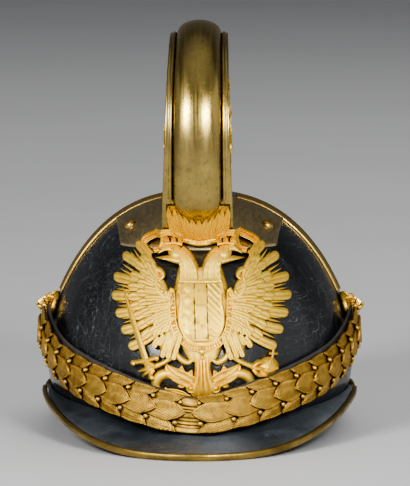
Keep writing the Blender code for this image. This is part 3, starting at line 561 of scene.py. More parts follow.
spine_rows = []
for step in range(SPINE_STEPS + 1):
    degrees, rise, width, roll = through(COMB_LINE, step / SPINE_STEPS)
    direction = Vector((0, -math.cos(math.radians(degrees)), math.sin(math.radians(degrees))))
    ridge = direction * (dome_reach(direction) + rise * COMB_RISE)
    half = width * COMB_HALF_WIDTH * SPINE_SHARE
    spine_rows.append((CENTRE_Y + ridge.y, WIDEST_Z + ridge.z, half, roll * ROLL_HALF_WIDTH))
spine_reached, spine_ways = walked(np.array(spine_rows)[:, :2])
from_end = np.minimum(spine_reached - ROLL_START, spine_reached[-1] - spine_reached)
fullness = np.sqrt(1 - (1 - np.clip(from_end / ROLL_ROUNDING, 0, 1)) ** 2)
strip_share = np.clip((from_end - BEAD_START) / BEAD_GROWTH, 0, 1)

spine, rows, columns, on_top = thick_grid("comb_spine", SPINE_STEPS, 2 * SPINE_MIDDLE)
places = []
marks = []
for row, column, top in zip(rows, columns, on_top):
    y, z, half, roll = spine_rows[row]
    from_middle = abs(column - SPINE_MIDDLE)
    reach = roll * max(fullness[row], LEAST_ROLL)
    x, height, dark = spine_section(from_middle, half, reach, fullness[row], strip_share[row])
    height -= 0 if top else SPINE_WALL
    way_y, way_z = spine_ways[row]
    places.append((math.copysign(x, column - SPINE_MIDDLE), y - way_z * height, z + way_y * height))
    # The groove by the roll and the line under its bead are darker: patina and painted shade.
    marks.append(SPINE_TONE + GROOVE_TONE * dark)
move_points(spine, places)
store(spine, "hollow", marks)
edit(spine, TURN_OUTWARD)
comb_brass = make_brass(
    "comb_brass", clean=(0.54, 0.395, 0.125), tarnished=(0.29, 0.215, 0.08),
    rough=0.19, dull=0.30, grain_scale=(700, 22, 30), bump=0.12, tarnish_scale=24.0,
    crevice=(0.02, 0.012, 0.004), bright=(0.54, 0.395, 0.125),
)
finish_piece(spine, comb_brass, "comb_ridge", smooth=60)

# Comb reliefs. A cast and gilt spray of scrolling leaves is pinned to each side wall, with
# a rosette in every scroll. Its lengths are in millimetres, laid out flat on the wall.

MM = 0.001


def mirrored(half):
    """A whole section from the half that runs from its middle to its edge."""
    return [(-across, height) for across, height in reversed(half) if across > 0] + list(half)


ROD = mirrored(((0, 1), (0.35, 0.95), (0.65, 0.8), (0.88, 0.52), (1, 0.22)))
LEAF = mirrored(((0, 1), (0.13, 0.72), (0.4, 0.64), (0.68, 0.7), (0.82, 0.96), (0.93, 0.9), (1, 0.4)))
# The forms of the casting that is being made.
raised = []


def raise_strip(
    path, half_widths, heights, section=ROD, along=16, base=0.0, vein=0.0, dark=0.0, side=1, rounded=False
):
    """One raised form of a casting, laid flat: its path and widths run from root to tip.

    section is its height from edge to edge, vein the spacing of its slanting veins, and side
    is -1 for a path that is mirrored to the left.
    """
    strip, row, column, top = thick_grid("raised_strip", along, len(section) - 1)
    shares = [1 - (1 - step / along) ** 1.35 for step in range(along + 1)]
    centres = np.array([through(path, share) for share in shares]) * (side, 1)
    reached, ways = walked(centres)
    widths = np.array([max(float(through(half_widths, share)), 0) for share in shares])
    if rounded:
        inside = np.clip(1 - (reached[-1] - reached) / widths[-1], 0, 1)
        widths = widths * np.sqrt(1 - inside**2)
    rises = np.array([float(through(heights, share)) for share in shares])
    rises = rises * np.clip(widths / (0.35 * widths.max()), 0.04, 1) ** 0.5
    across, profile = np.array(section).T[:, column]
    reach = across * widths[row]
    x = centres[row, 0] - ways[row, 1] * reach
    y = centres[row, 1] + ways[row, 0] * reach
    z = np.where(top, base + rises[row] * profile, 0)
    move_points(strip, np.stack([x, y, z], 1) * MM)
    # Darker at its edges and walls, and all over by dark: patina and painted shade.
    store(strip, "hollow", np.where(top, np.clip(1.02 - profile + dark, 0, 1), 1))
    store(strip, "vein", (reached[row] + np.abs(reach) * 1.3) / vein + 0.01 if vein else 0 * reach)
    raised.append(strip)
    return strip


def raise_ball(x, y, radius, height, base=0.0, sides=14, dark=0.0):
    """A round boss, berry or bead of a casting, laid flat."""
    deselect()
    bpy.ops.mesh.primitive_uv_sphere_add(segments=sides, ring_count=8, radius=1)
    ball = start_piece("raised_ball")
    sphere = points_of(ball)
    places = sphere * (radius, radius, height) + (x, y, base)
    places[:, 2] = np.maximum(places[:, 2], 0)
    move_points(ball, places * MM)
    # Darker from its top down to its foot: patina and painted shade.
    store(ball, "hollow", np.clip(0.78 - 0.85 * sphere[:, 2] + dark, 0, 1))
    store(ball, "vein", 0 * sphere[:, 2])
    raised.append(ball)


def join_raised(name):
    """Makes one casting of the forms that were raised since the last one."""
    deselect()
    for form in raised:
        form.select_set(True)
    bpy.context.view_layer.objects.active = raised[0]
    bpy.ops.object.join()
    raised.clear()
    whole = start_piece(name)
    edit(whole, (bpy.ops.mesh.remove_doubles, {"threshold": 0.01 * MM}), TURN_OUTWARD)
    return whole


def copy_of(piece, name):
    """A second piece with its own mesh."""
    made = bpy.data.objects.new(name, piece.data.copy())
    made.data.name = name
    bpy.context.scene.collection.objects.link(made)
    return made


def seat_casting(piece, place, material, node, mirror=False):
    """Bends a flat casting into its place and finishes it. place gives where a point goes."""
    seated = np.array([place(*point)[:] for point in points_of(piece)])
    move_points(piece, seated * (-1 if mirror else 1, 1, 1))
    edit(piece, TURN_OUTWARD)
    finish_piece(piece, material, node, smooth=50)


def seat_pair(casting, place, material, node):
    """Seats a casting on the right, and a mirrored copy of it on the left."""
    second = copy_of(casting, casting.name.replace("right", "left"))
    seat_casting(casting, place, material, node + "_right")
    seat_casting(second, place, material, node + "_left", mirror=True)


def scroll_path(x, y, radius, start, turns, inner):
    """A stem that winds in round a centre. A negative turn winds clockwise."""
    path = []
    for step in range(13):
        share = step / 12
        angle = math.radians(start + 360 * turns * share)
        reach = radius * lerp(1, inner, share**0.8)
        path.append((x + reach * math.cos(angle), y + reach * math.sin(angle)))
    return path


def raise_leaf(x, y, degrees, length, width, curl, height=1.9, base=0.6, side=1):
    """A pointed leaf that starts at (x, y) and curls by some degrees towards its tip."""
    path = [(x, y)]
    for step in range(4):
        turn = math.radians(degrees + curl * (step + 0.5) / 4)
        x += length / 4 * math.cos(turn)
        y += length / 4 * math.sin(turn)
        path.append((x, y))
    widths = np.array((0.35, 0.9, 1, 0.8, 0.42, 0)) * width
    heights = np.array((0.8, 1, 1, 0.7)) * height
    raise_strip(path, widths, heights, LEAF, 12, base, 1.1, side=side)


# Each scroll: its centre along the comb and upwards, its size, the angle at which its stem
# comes in, and its turns.
SCROLLS = (
    (-49, 173, 14, 210, -1.35), (-19, 189, 18, 150, 1.35), (20, 178, 18.5, 210, -1.35),
    (52, 163, 13, 150, 1.35), (76, 142, 8.5, 240, -1.3),
)
LEAVES_A_SCROLL = 9
PETALS = 7
# Leaves at each place: lean from the stem, length and width for its size, curl, height, base.
SCROLL_LEAVES = (
    (30, 0.62, 0.24, 75, 1.9, 0.6), (65, 0.46, 0.15, 60, 1.5, 0.3), (155, 0.36, 0.15, 60, 1.6, 0.3),
)
for y, z, radius, start, turns in SCROLLS:
    winding = math.copysign(1, turns)
    stem = scroll_path(y, z, radius, start, turns, 0.34)
    raise_strip(stem, (0.10 * radius, 0.12 * radius, 0.07 * radius), (2.4, 2.6, 2.2), along=44)
    for step in range(LEAVES_A_SCROLL):
        turn = start + winding * (10 + 40 * step)
        reach = radius * lerp(0.96, 0.72, step / LEAVES_A_SCROLL)
        root = (y + reach * math.cos(math.radians(turn)), z + reach * math.sin(math.radians(turn)))
        for lean, length, width, curl, height, base in SCROLL_LEAVES:
            shape = (turn + winding * lean, radius * length, radius * width, winding * curl, height, base)
            raise_leaf(*root, *shape)
    for step in range(PETALS):
        raise_leaf(y, z, 51.4 * step + 20, radius * 0.36, radius * 0.12, 15, 2.2, 0.9)
    raise_ball(y, z, radius * 0.11, 1.8, 2)
VINE = (
    (90, 129), (81, 132), (71, 135), (66, 152), (63, 170), (52, 177), (41, 170), (33, 163), (20, 158.5),
    (5, 166), (-1, 182), (-4, 199), (-19, 208), (-34, 199), (-36, 181), (-38, 165), (-49, 158),
    (-62, 165), (-69, 178),
)
raise_strip(VINE, (1, 1.7, 1.9, 1.8, 1.2), (2.2, 2.6, 2.6, 2.2), along=110)
for (y, z), (next_y, next_z) in zip(VINE[1:], VINE[2:]):
    ahead = math.degrees(math.atan2(next_z - z, next_y - y))
    for side in (-1, 1):
        raise_leaf(y, z, ahead + side * 28, 9.5, 2.5, side * 45, 2.1, 0.5)
for lean, length in ((0, 15), (-34, 12.5), (34, 12.5), (-66, 9.5), (66, 9.5)):
    raise_leaf(-68, 176, 112 + lean, length, 3.1, lean * 0.7, 2.4, 0.6)
    raise_leaf(89, 130, -30 + lean, length * 0.62, 2, lean * 0.7, 2.2, 0.6)

wall_right = bpy.data.objects["comb_wall_right"]


def on_wall(y, z, height):
    """The place on the right side wall at (y, z), raised from it by height."""
    hit, point, _, _ = wall_right.ray_cast(Vector((0.1, y, z)), Vector((-1, 0, 0)))
    if not hit:
        _, point, _, _ = wall_right.closest_point_on_mesh(Vector((0.02, y, z)))
    return Vector((point.x + CLEARANCE + height, y, z))


relief_gilt = make_brass(
    "relief_gilt", clean=(0.76, 0.49, 0.09), tarnished=(0.52, 0.32, 0.055), rough=0.34, dull=0.48,
    bump=0.35, crevice=(0.036, 0.016, 0.005), bright=(0.9, 0.6, 0.21),
)
seat_pair(join_raised("leaf_spray_right"), on_wall, relief_gilt, "comb_relief")

# Bosses. A cast lion mask covers each end of the band and of the chain, with a beaded rim
# round it. Its lengths are in millimetres from its middle.

BOSS_SEAT = Vector((0.0872, -0.0060, 0.0700))
BOSS_OUTWARD = Vector((0.9456, -0.0798, 0.3155))
MASK_DEPTH = 1.25
# The mane's rows: reach, length, number, how far a lock is shifted, base and height.
MANE = ((4.6, 4.9, 15, 0.5, 2, 1.7), (3.2, 4, 12, 0, 3.3, 1.9))
# Muzzle, cheek and eye: across, up, radius, height and base.
FACE = ((1.35, -2.3, 1.65, 2.4, 6.4), (3.1, -0.6, 1.7, 2.6, 4.2), (2.1, 1.7, 0.75, 0.9, 6.3))

raise_ball(0, 0, 9.7, 3.6, 0.4, sides=36, dark=0.35)
rim_angles = np.radians(np.arange(0, 361, 15))
raise_strip(9.3 * np.stack([np.cos(rim_angles), np.sin(rim_angles)], 1), (0.7, 0.7), (2.4, 2.4), along=48)
for reach, length, count, shift, base, height in MANE:
    for step in range(count):
        turn = 360 * (step + shift) / count + 90
        spot = math.radians(turn)
        root = (reach * math.cos(spot), reach * math.sin(spot) + 0.3)
        raise_leaf(*root, turn - 18, length, 1.25, 40, height, base)
raise_ball(0, 0.4, 4.7, 6, 0.4, sides=20)
raise_strip(((0, 4.4), (0, 1.6), (0, -0.9)), (1, 0.8, 1.25), (6.6, 8.2, 9.3), along=8)
raise_ball(0, -1.1, 1.15, 1.2, 8.6)
raise_ball(0, -4.3, 1.7, 2.2, 4.4)
for side in (-1, 1):
    for x, y, radius, height, base in FACE:
        raise_ball(side * x, y, radius, height, base)
    brow = ((0.8, 2.5), (2.2, 3.3), (3.8, 2.3))
    raise_strip(brow, (0.6, 0.8, 0.4), (7.3, 7.2, 5.6), along=8, side=side)
    ear = ((3.4, 4.2), (4.6, 5.6), (4.9, 6.9))
    raise_strip(ear, (1.2, 1.4, 0.3), (6.2, 6, 5.4), LEAF, along=8, side=side)

boss_upward = (Vector((0, 0, 1)) - BOSS_OUTWARD * BOSS_OUTWARD.z).normalized()
boss_across = boss_upward.cross(BOSS_OUTWARD)


def on_temple(x, y, height):
    return BOSS_SEAT + boss_across * x + boss_upward * y + BOSS_OUTWARD * (CLEARANCE + height * MASK_DEPTH)


boss_gilt = make_brass(
    "boss_gilt", clean=(0.76, 0.49, 0.09), tarnished=(0.5, 0.31, 0.055), rough=0.34, dull=0.46,
    bump=0.3, crevice=(0.045, 0.019, 0.006), bright=(0.9, 0.61, 0.22),
)
seat_pair(join_raised("lion_mask_right"), on_temple, boss_gilt, "boss")

# Chin straps. Each half of the chain is sewn to a strap of leather a little narrower than
# its scales. The strap shows in the gaps between them, a dark brown.

strap_leather = make_leather(
    "strap_leather", deep=(0.013, 0.0105, 0.009), pale=(0.042, 0.034, 0.029),
    crackle_scale=260, scratches=0.4, gloss=0.45, bump=0.8,
)
for word in ("left", "right"):
    dress("chin_strap_" + word, "chin_strap_leather_" + word, strap_leather)

# Chin chain. Gilt castings of a laurel leaf between two smaller ones, with berries on short
# stems, are sewn to the strap so that each tip lies over the next. The chain hooks up over
# the front peak, where its right half ends over the ribbed end plate of its left half.

CHAIN_HALF_LENGTH = 0.1280
CHAIN_SPREAD = 0.0942
CHAIN_HALF_WIDTH = 0.0115
CHAIN_LEAN = 31.0
CHAIN_LEAN_END = 60.0
CHAIN_CONVEX = 0.0020
CHAIN_TOP = 0.0700
CHAIN_STEPS = 180
CHAIN_ANGLES = (-15, 0, 15, 30, 45, 58, 70, 80, 90)
CHAIN_HEIGHTS = (0.365, 0.300, 0.365, 0.460, 0.550, 0.635, 0.755, 0.890, 1.000)
SCALE_RISE = 0.0015
UNIT_LENGTH = 0.01545
FIRST_UNIT_STRETCH = 1.13
FIRST_UNIT_LIFT = 0.0008
BAND_Y = -0.0060
BOSS_REACH = 0.0103
BLUNT = mirrored(((0, 0.84), (0.35, 0.78), (0.66, 0.76), (0.8, 0.82), (0.885, 1), (0.95, 0.96), (1, 0.4)))

last_angle = math.acos((CENTRE_Y - BAND_Y) / CHAIN_HALF_LENGTH)
last_row = len(CHAIN_ANGLES) - 1
chain_line = []
chain_reached = []
for step in range(CHAIN_STEPS + 1):
    angle = last_angle * step / CHAIN_STEPS
    row = np.interp(math.degrees(angle), CHAIN_ANGLES, range(last_row + 1))
    height = float(through(CHAIN_HEIGHTS, row / last_row)) * CHAIN_TOP
    point = Vector((CHAIN_SPREAD * math.sin(angle), CENTRE_Y - CHAIN_HALF_LENGTH * math.cos(angle), height))
    chain_reached.append(chain_reached[-1] + (point - chain_line[-1][0]).length if chain_line else 0.0)
    chain_line.append((point, angle))
chain_end = chain_reached[-1] - BOSS_REACH


def chain_place(length):
    """The chain's middle line, with its directions across and outward."""
    index = min(max(int(np.searchsorted(chain_reached, abs(length))), 1), CHAIN_STEPS)
    share = (abs(length) - chain_reached[index - 1]) / (chain_reached[index] - chain_reached[index - 1])
    (p0, a0), (p1, a1) = chain_line[index - 1], chain_line[index]
    point = p0.lerp(p1, share)
    lean = math.radians(CHAIN_LEAN * max(1 - math.degrees(lerp(a0, a1, share)) / CHAIN_LEAN_END, 0))
    along = (p1 - p0).normalized()
    inward = Vector((-along.y, along.x, 0)).normalized()
    if inward.dot(Vector((point.x, point.y - CENTRE_Y, 0))) > 0:
        inward = -inward
    across = Vector((0, 0, math.cos(lean))) + inward * math.sin(lean)
    across = (across - along * across.dot(along)).normalized()
    outward = along.cross(across)
    if outward.dot(inward) > 0:
        outward = -outward
    flip = Vector((-1, 1, 1)) if length < 0 else Vector((1, 1, 1))
    return point * flip, across * flip, outward * flip


# A low plate under the leaves, darkened all over as painted shade between them.
raise_strip(((-1.5, 0), (17, 0)), (9.8, 10.2), (0.5, 0.5), along=6, dark=1)
for side in (-1, 1):
    side_leaf = ((-1, side * 6.9), (5, side * 7.6), (10, side * 8.3), (14.4, side * 9.4), (17.8, side * 10.9))
    widths = (3.4, 4, 3.9, 3.2, 1.9, 0.5)
    raise_strip(side_leaf, widths, (0.9, 1.5, 1.8, 1.9, 1.8), BLUNT, 20, 0.2, 1.5, dark=0.12)
    raise_ball(16.6, side * 6.5, 1.45, 1.9, 1.2)
middle_leaf = ((-3.5, 0), (9, 0), (20.8, 0))
widths = (3.4, 4.2, 5, 5.7, 6.3, 6.3, 4.9, 2.7, 0.4)
raise_strip(middle_leaf, widths, (1, 1.8, 2.3, 2.6, 2.6, 2), BLUNT, 28, 0.7, 1.5, dark=0.12)
laurel_unit = join_raised("laurel_unit")

chain_gilt = make_brass(
    "chain_gilt", clean=(0.56, 0.35, 0.078), tarnished=(0.36, 0.21, 0.044), rough=0.42, dull=0.56,
    bump=0.70, crevice=(0.036, 0.016, 0.006), bright=(0.92, 0.66, 0.19),
)
for word, start, units in (("right", 0.0055, 10), ("left", 0.0120, 9)):
    pitch = (chain_end - start) / units
    for unit in range(1, units + 1):
        first = word == "right" and unit == 1
        stretch = pitch / UNIT_LENGTH * (FIRST_UNIT_STRETCH if first else 1)
        lift = CLEARANCE + (FIRST_UNIT_LIFT if first else 0)

        def on_chain(x, y, height):
            point, across, outward = chain_place(start + unit * pitch - x * stretch)
            bulge = CHAIN_CONVEX * max(1 - (y / CHAIN_HALF_WIDTH) ** 2, -0.3)
            stand = lift + SCALE_RISE * x * stretch / pitch + bulge
            return point + across * y + outward * (stand + height)

        laurel = copy_of(laurel_unit, f"laurel_{word}_{unit}")
        seat_casting(laurel, on_chain, chain_gilt, f"scale_{word}_{unit}", word == "left")
bpy.data.objects.remove(laurel_unit)

# The end plate's ground, darkened as painted shade between its ribs.
raise_strip(((-2.5, 0), (11.4, 0)), (10.4, 10.4), (0.8, 0.8), along=6, dark=0.6)
# The end plate's ribs: place across it and half width.
RIBS = ((8.6, 2.4), (4.9, 0.7), (3, 0.7), (0.4, 1.5), (-2.4, 0.8), (-4.6, 0.8), (-6.6, 0.7), (-9, 1.5))
for rib, half in RIBS:
    raise_strip(((-2.5, rib), (4, rib), (11.4, rib)), (half, half), (1.6, 1.7, 1.6), BLUNT, along=8)


def on_left_end(x, y, height):
    point, across, outward = chain_place(x)
    return point + across * y + outward * (CLEARANCE + height)


end_plate = join_raised("ribbed_end_plate")
seat_casting(end_plate, on_left_end, chain_gilt, "hook_plate", mirror=True)

# Eagle. The badge on the brow is one gilt casting, chased by hand and held by two studs: a
# crowned double eagle with a plain three-part shield, a sword in one claw and an orb in the
# other. Lengths are in millimetres, x from its middle and z from the ground.

FEATHER = mirrored(((0, 0.7), (0.1, 0.86), (0.28, 1), (0.55, 0.97), (0.8, 0.8), (0.94, 0.58), (1, 0.3)))
TAIL = mirrored((
    (0, 0.62), (0.1, 0.95), (0.26, 1), (0.4, 0.66), (0.54, 0.95), (0.7, 0.92), (0.84, 0.6), (0.93, 0.82),
    (1, 0.4),
))
FLAT = mirrored(((0, 1), (0.5, 1), (0.8, 0.97), (0.93, 0.82), (1, 0.42)))
RIM = mirrored(((0, 0.7), (0.55, 0.7), (0.68, 1), (0.86, 1), (1, 0.5)))
BLADE = mirrored(((0, 1), (0.35, 0.84), (0.85, 0.76), (1, 0.4)))
PRIMARY_TIPS = np.array(
    ((37.8, 116.8), (46.3, 109.5), (52, 97), (53.2, 86.6), (51, 76.8), (47.7, 67.6), (43.4, 58.6))
)
PRIMARY_ROOTS = np.array(
    ((28.5, 100.5), (27.5, 96.5), (26.8, 92), (25.8, 87.5), (24.3, 83), (22, 78.5), (19.5, 74))
)
# Rows of coverts: reach as a share of the primaries, width, height, base, number and bend.
COVERTS = ((0.64, 2.7, 1.2, 1.6, 9, 0.8), (0.44, 2.4, 1.2, 2.3, 8, 0.6), (0.27, 2, 1.1, 2.9, 7, 0.4))


def feather(side, root, tip, width, height, base, bend=0.0, narrow=0.8, along=7, vein=0.6):
    """A round-ended feather from root to tip, bent sideways by some millimetres."""
    (x0, z0), (x1, z1) = root, tip
    lean = bend / math.hypot(x1 - x0, z1 - z0)
    middle = ((x0 + x1) / 2 - (z1 - z0) * lean, (z0 + z1) / 2 + (x1 - x0) * lean)
    widths = (narrow * width, 0.9 * width, width)
    heights = (0.7 * height, height, 0.85 * height)
    raise_strip((root, middle, tip), widths, heights, FEATHER, along, base, vein, side=side, rounded=True)


for side in (-1, 1):
    for index, (root, tip) in enumerate(zip(PRIMARY_ROOTS, PRIMARY_TIPS)):
        feather(side, root, tip, 2.85, 1.9, 0.3, lerp(2.2, -1.2, index / 6), 0.6, 14, 0.9)
        for share in (0.36, 0.60) if index < 6 else ():
            start = lerp(root, PRIMARY_ROOTS[index + 1], share)
            end = lerp(tip, PRIMARY_TIPS[index + 1], share)
            quill = (lerp(start, end, 0.50), lerp(start, end, 0.92))
            raise_strip(quill, (0.8, 0.65, 0), (1.3, 1.2, 0.9), along=6, side=side)
    for reach, width, height, base, count, bend in COVERTS:
        for step in range(count):
            place = (step + 0.25) / (count - 0.5)
            root, tip = through(PRIMARY_ROOTS, place), through(PRIMARY_TIPS, place)
            ends = (lerp(root, tip, reach - 0.45), lerp(root, tip, reach))
            feather(side, *ends, width, height, base, bend, 0.8, 10, 0.7)
    arm = ((16, 63), (19, 75), (24, 90), (28, 103), (32.5, 112.5))
    raise_strip(arm, (4, 6.5, 6, 3, 0.8), (2, 2.8, 3, 2.4, 1.4), along=20, vein=0.9, dark=0.12, side=side)
    for row in range(5):
        for step in range(3):
            x, z = 16.5 + 3.2 * step + 0.6 * row, 93 - 6 * row - 1.5 * step
            feather(side, (x, z), (x + 3.2, z - 6.2), 1.9, 1.1, 2.5, 0.3, 0.8, 8, 0.7)

breast = ((0, 104.6), (0, 100), (0, 84), (0, 66), (0, 52.5))
raise_strip(breast, (3, 11.5, 17, 16.5, 13, 8), (2.6, 3.2, 3.2, 3, 2.6), along=24, vein=0.9, dark=0.06)
NECK = np.array(((7.5, 92), (7, 99), (7, 105), (8.8, 110), (12.4, 113.4)))
for side in (-1, 1):
    for row in range(6):
        for column in (-1, 0, 1):
            start = through(NECK, 0.90 - 0.15 * row) + (column * (2.3 + 0.35 * row), 0)
            end = through(NECK, 0.74 - 0.15 * row) + (column * (2.9 + 0.5 * row), -1.4)
            feather(side, start, end, 1.7, 0.9, 3.4)
    raise_ball(side * 14.6, 113, 4.3, 3.7, 1.3, sides=20)
    raise_ball(side * 16.4, 114.4, 0.85, 0.8, 4.9, sides=10)
    for step in range(3):
        x = 11.4 + 4 * step
        point = ((x, 117.4), (x + 0.2 * (step - 1), 122.2))
        raise_strip(point, (1.3, 1.55, 0.5), (3.2, 3.2, 2.6), LEAF, along=8, side=side)

# The shield's rows: height and half width. Its face: share of the half width and height.
SHIELD_ROWS = (
    (63.4, 0.3), (64.2, 4), (66.2, 8.2), (69.2, 11.6), (74, 13.5), (80, 13.7), (86, 12.7), (91, 12.9),
    (95.5, 13.9), (98.4, 12.6),
)
SHIELD_FACE = (
    (0, 0.955), (0.255, 0.945), (0.275, 0.905), (0.295, 0.945), (0.6, 0.935), (0.855, 0.9), (0.885, 0.905),
    (0.915, 0.985), (0.965, 0.985), (1, 0.55),
)
row_heights, row_widths = zip(*SHIELD_ROWS)
section = [(share, float(np.interp(abs(share), *zip(*SHIELD_FACE)))) for share in np.linspace(-1, 1, 57)]
middle_line = [(0, z) for z in row_heights]
shield = raise_strip(middle_line, row_widths, (4.4, 5, 5.5, 5.7, 5.7, 5.5, 5), section, along=76)
x, z, height = (points_of(shield) / MM).T
z = z + np.clip((z - 90) / 8.4, 0, 1) ** 2 * (1.3 * np.abs(np.sin(np.pi * x / 13.4)) - 0.4)
front = height > 3.6
inside = front & (np.abs(x) < 0.86 * np.interp(z, row_heights, row_widths)) & (z > 65.8) & (z < 96.8)
stripes = inside & (x > 4.4) & (np.sin((x + z) * 1.7) > 0.2)
lozenges = inside & (x < -4.4) & (np.abs((x + 7.7) / 2.4) + np.abs(((z - 66) % 6.2 - 3.1) / 2.8) < 0.8)
bar = inside & (np.abs(x) < 3.1) & (np.abs(z - 82) < 2.6)
charges = stripes | lozenges | bar
groove = front & (z > 96.6) & (z < 97.2)
move_points(shield, np.stack([x, z, height + 0.32 * charges - 0.25 * groove], 1) * MM)
hollow = shield.data.attributes["hollow"].data
marks = np.zeros(len(x), np.float32)
hollow.foreach_get("value", marks)
lines = (np.abs(np.abs(x) - 3.75) < 0.35) | groove
marks = np.where(front, 0.12 + 0.36 * (inside & ~charges) + 0.30 * lines, marks)
hollow.foreach_set("value", marks.astype(np.float32))

# The collar of links round the shield, and the two beads that hang from it.
COLLAR = np.array(((17.2, 91.5), (16.8, 82), (16.2, 73.5), (12.8, 66), (6.8, 61.4), (0, 60.2)))
LINKS = 22
for side in (-1, 1):
    collar = COLLAR * (side, 1)
    raise_strip(collar, (2.1, 2.1, 2.1), (3.5, 3.9, 3.9), RIM, along=34, dark=0.1)
    for step in range(LINKS):
        spot, ahead = through(collar, (step + 0.5) / LINKS), through(collar, (step + 0.9) / LINKS)
        turn = math.atan2(ahead[0] - spot[0], spot[1] - ahead[1])
        reach = (1.5 * math.cos(turn), 1.5 * math.sin(turn))
        raise_strip((spot - reach, spot + reach), (0.45, 0.45), (3.9, 3.9), along=3)
raise_ball(0, 58.6, 2, 1.8, 3)
raise_ball(0, 55, 1.5, 1.5, 2.6)

# What both sides have: section, steps, spacing of veins, path, half widths and heights.
PAIRED_FORMS = (
    # The wing's edge and its curl.
    (ROD, 22, 0.9, ((18.6, 87), (24.4, 91), (26.4, 96.5), (26, 101.5), (28.4, 107), (33, 113)),
     (1.6, 2.3, 2.2, 2, 1.6, 0.6), (3.2, 4.2, 4.2, 3.6, 3.2, 2)),
    (ROD, 18, 0, ((27, 103.6), (23.6, 102.6), (22, 100.2), (23.6, 98.4), (25.2, 99.6)),
     (1.5, 1.6, 1.5, 1.2, 0.8), (3.8, 4, 4.2, 4, 3.8)),
    # The neck, the beak's halves, the eyelid and the band of the small crown.
    (ROD, 22, 0.9, NECK, (8.4, 7.4, 6, 4.7, 4.2), (3.4, 4, 4.3, 4.4, 4.2)),
    (ROD, 14, 0, ((14.6, 114.6), (19.6, 115), (23.6, 113), (24.6, 110.9)),
     (2.7, 2, 1.3, 0), (4.7, 4.2, 3.4, 2.6)),
    (ROD, 12, 0, ((12.6, 108.6), (19.4, 109.2), (26.4, 109.2)), (2.6, 1.5, 0), (4, 3.4, 2.4)),
    (ROD, 8, 0, ((14.2, 116), (16.6, 116.4), (19, 115.6)), (0.6, 0.7, 0.3), (5, 5.1, 4.6)),
    (ROD, 10, 0, ((10.4, 117), (15.4, 117.8), (20.4, 117.2)), (1, 1, 1), (3.6, 3.9, 3.6)),
    # The thigh, the shank and the hook behind them.
    (ROD, 16, 0.9, ((13.5, 70), (18.6, 64), (20.4, 59), (18.4, 54.6)), (5, 6, 4.6, 1.8), (3.2, 4.2, 4, 3.2)),
    (ROD, 10, 0, ((17.6, 55.2), (23, 51.6), (29.6, 48.4)), (1.8, 1.5, 1.7), (3.6, 3.2, 3)),
    (ROD, 22, 0, ((16.6, 62), (15.6, 57.4), (12.4, 53.6), (8.4, 52), (5, 54.4)),
     (1.2, 1.7, 1.9, 1.7, 1), (3, 3.2, 3.2, 3, 2.6)),
    # Two leaves and two scrolls below the legs.
    (LEAF, 22, 1, ((4, 38.6), (10.6, 42.4), (16.4, 45), (20, 48.2), (21.4, 51)),
     (3.6, 4.4, 4.4, 3.6, 2.2, 0), (2.6, 3.6, 3.8, 3.4, 2.4)),
    (LEAF, 16, 1, ((25, 34.6), (17, 34), (7.5, 31.4)), (0.5, 2, 2.4, 1), (1.6, 2.6, 2.4)),
    (ROD, 36, 0, ((14, 42.4), (20.6, 45), (26, 43), (28.2, 38.8), (26.6, 35.2), (22.8, 34.6), (21.8, 36.8)),
     (2.4, 3, 3.1, 2.7, 2.2, 1.7, 1), (2.8, 3.4, 3.6, 3.4, 3, 2.8)),
    (ROD, 24, 0, scroll_path(7.4, 37, 3.2, 90, 1.2, 0.5), (1, 0.9, 0.6), (3.2, 3.6, 3.6)),
    # The crown's ribbon and its fold.
    (LEAF, 36, 0, ((9.8, 120.4), (15, 123.4), (20.6, 124.2), (26, 122), (31.6, 119.2), (33.6, 116.4),
     (31.6, 113), (28.8, 110.8)), (1.4, 2, 2, 2, 1.7), (2.2, 2.6, 2.4, 2.4)),
    (LEAF, 16, 0, ((21.4, 123), (21.6, 118.4), (23.6, 114.6), (27.6, 113.2)), (1.6, 1.6, 1.6), (2, 2.2, 2)),
)
for side in (-1, 1):
    for section, along, vein, path, widths, heights in PAIRED_FORMS:
        raise_strip(path, widths, heights, section, along, vein=vein, side=side)
    for row in range(4):
        for step in range(3):
            x, z = 12.6 + 3.3 * step + 1.1 * row, 67.5 - 3.2 * row + 0.6 * step
            feather(side, (x, z), (x + 1.2, z - 4.4), 1.7, 0.9, 3.5)
    for x, z, lean, length in ((8, 43, 95, 5.4), (12.4, 45.4, 80, 5), (17, 44, 5, 5), (11, 40, -40, 4.6)):
        raise_leaf(x, z, lean, length, 1.9, 30, 1.8, 1.4, side)
    raise_ball(side * 7.4, 37, 1.5, 2, 2.4)
tail = ((0, 56), (0, 48), (0, 40), (0, 34.5), (0, 29.8))
raise_strip(tail, (5.2, 4.6, 5.6, 8, 7.6, 2.4), (3, 3.8, 4.2, 4, 2.8), TAIL, along=26, vein=1)

# The claws: heights, steps and a path for each talon.
TALON = (1.5, 1.3, 0.4)
CLAWS = (
    ((4.6, 5.2, 2.6), 10, (
        ((-29.6, 48.4), (-33, 47.4), (-38, 45.6)), ((-29.6, 48), (-33, 45.4), (-35.6, 42.6)),
        ((-29, 47.6), (-31, 44.2), (-31.8, 41)), ((-28.6, 49.6), (-32.4, 51.2), (-37, 50.2)),
    )),
    ((4.4, 6.6, 5.8), 8, (
        ((29.4, 48.8), (33, 51.4), (37.4, 50.6)), ((29.6, 48.2), (33.6, 47.6), (37.6, 48)),
        ((29.4, 47.6), (32.6, 43.8), (37.4, 43.2)),
    )),
)
for heights, along, talons in CLAWS:
    for talon in talons:
        raise_strip(talon, TALON, heights, along=along)

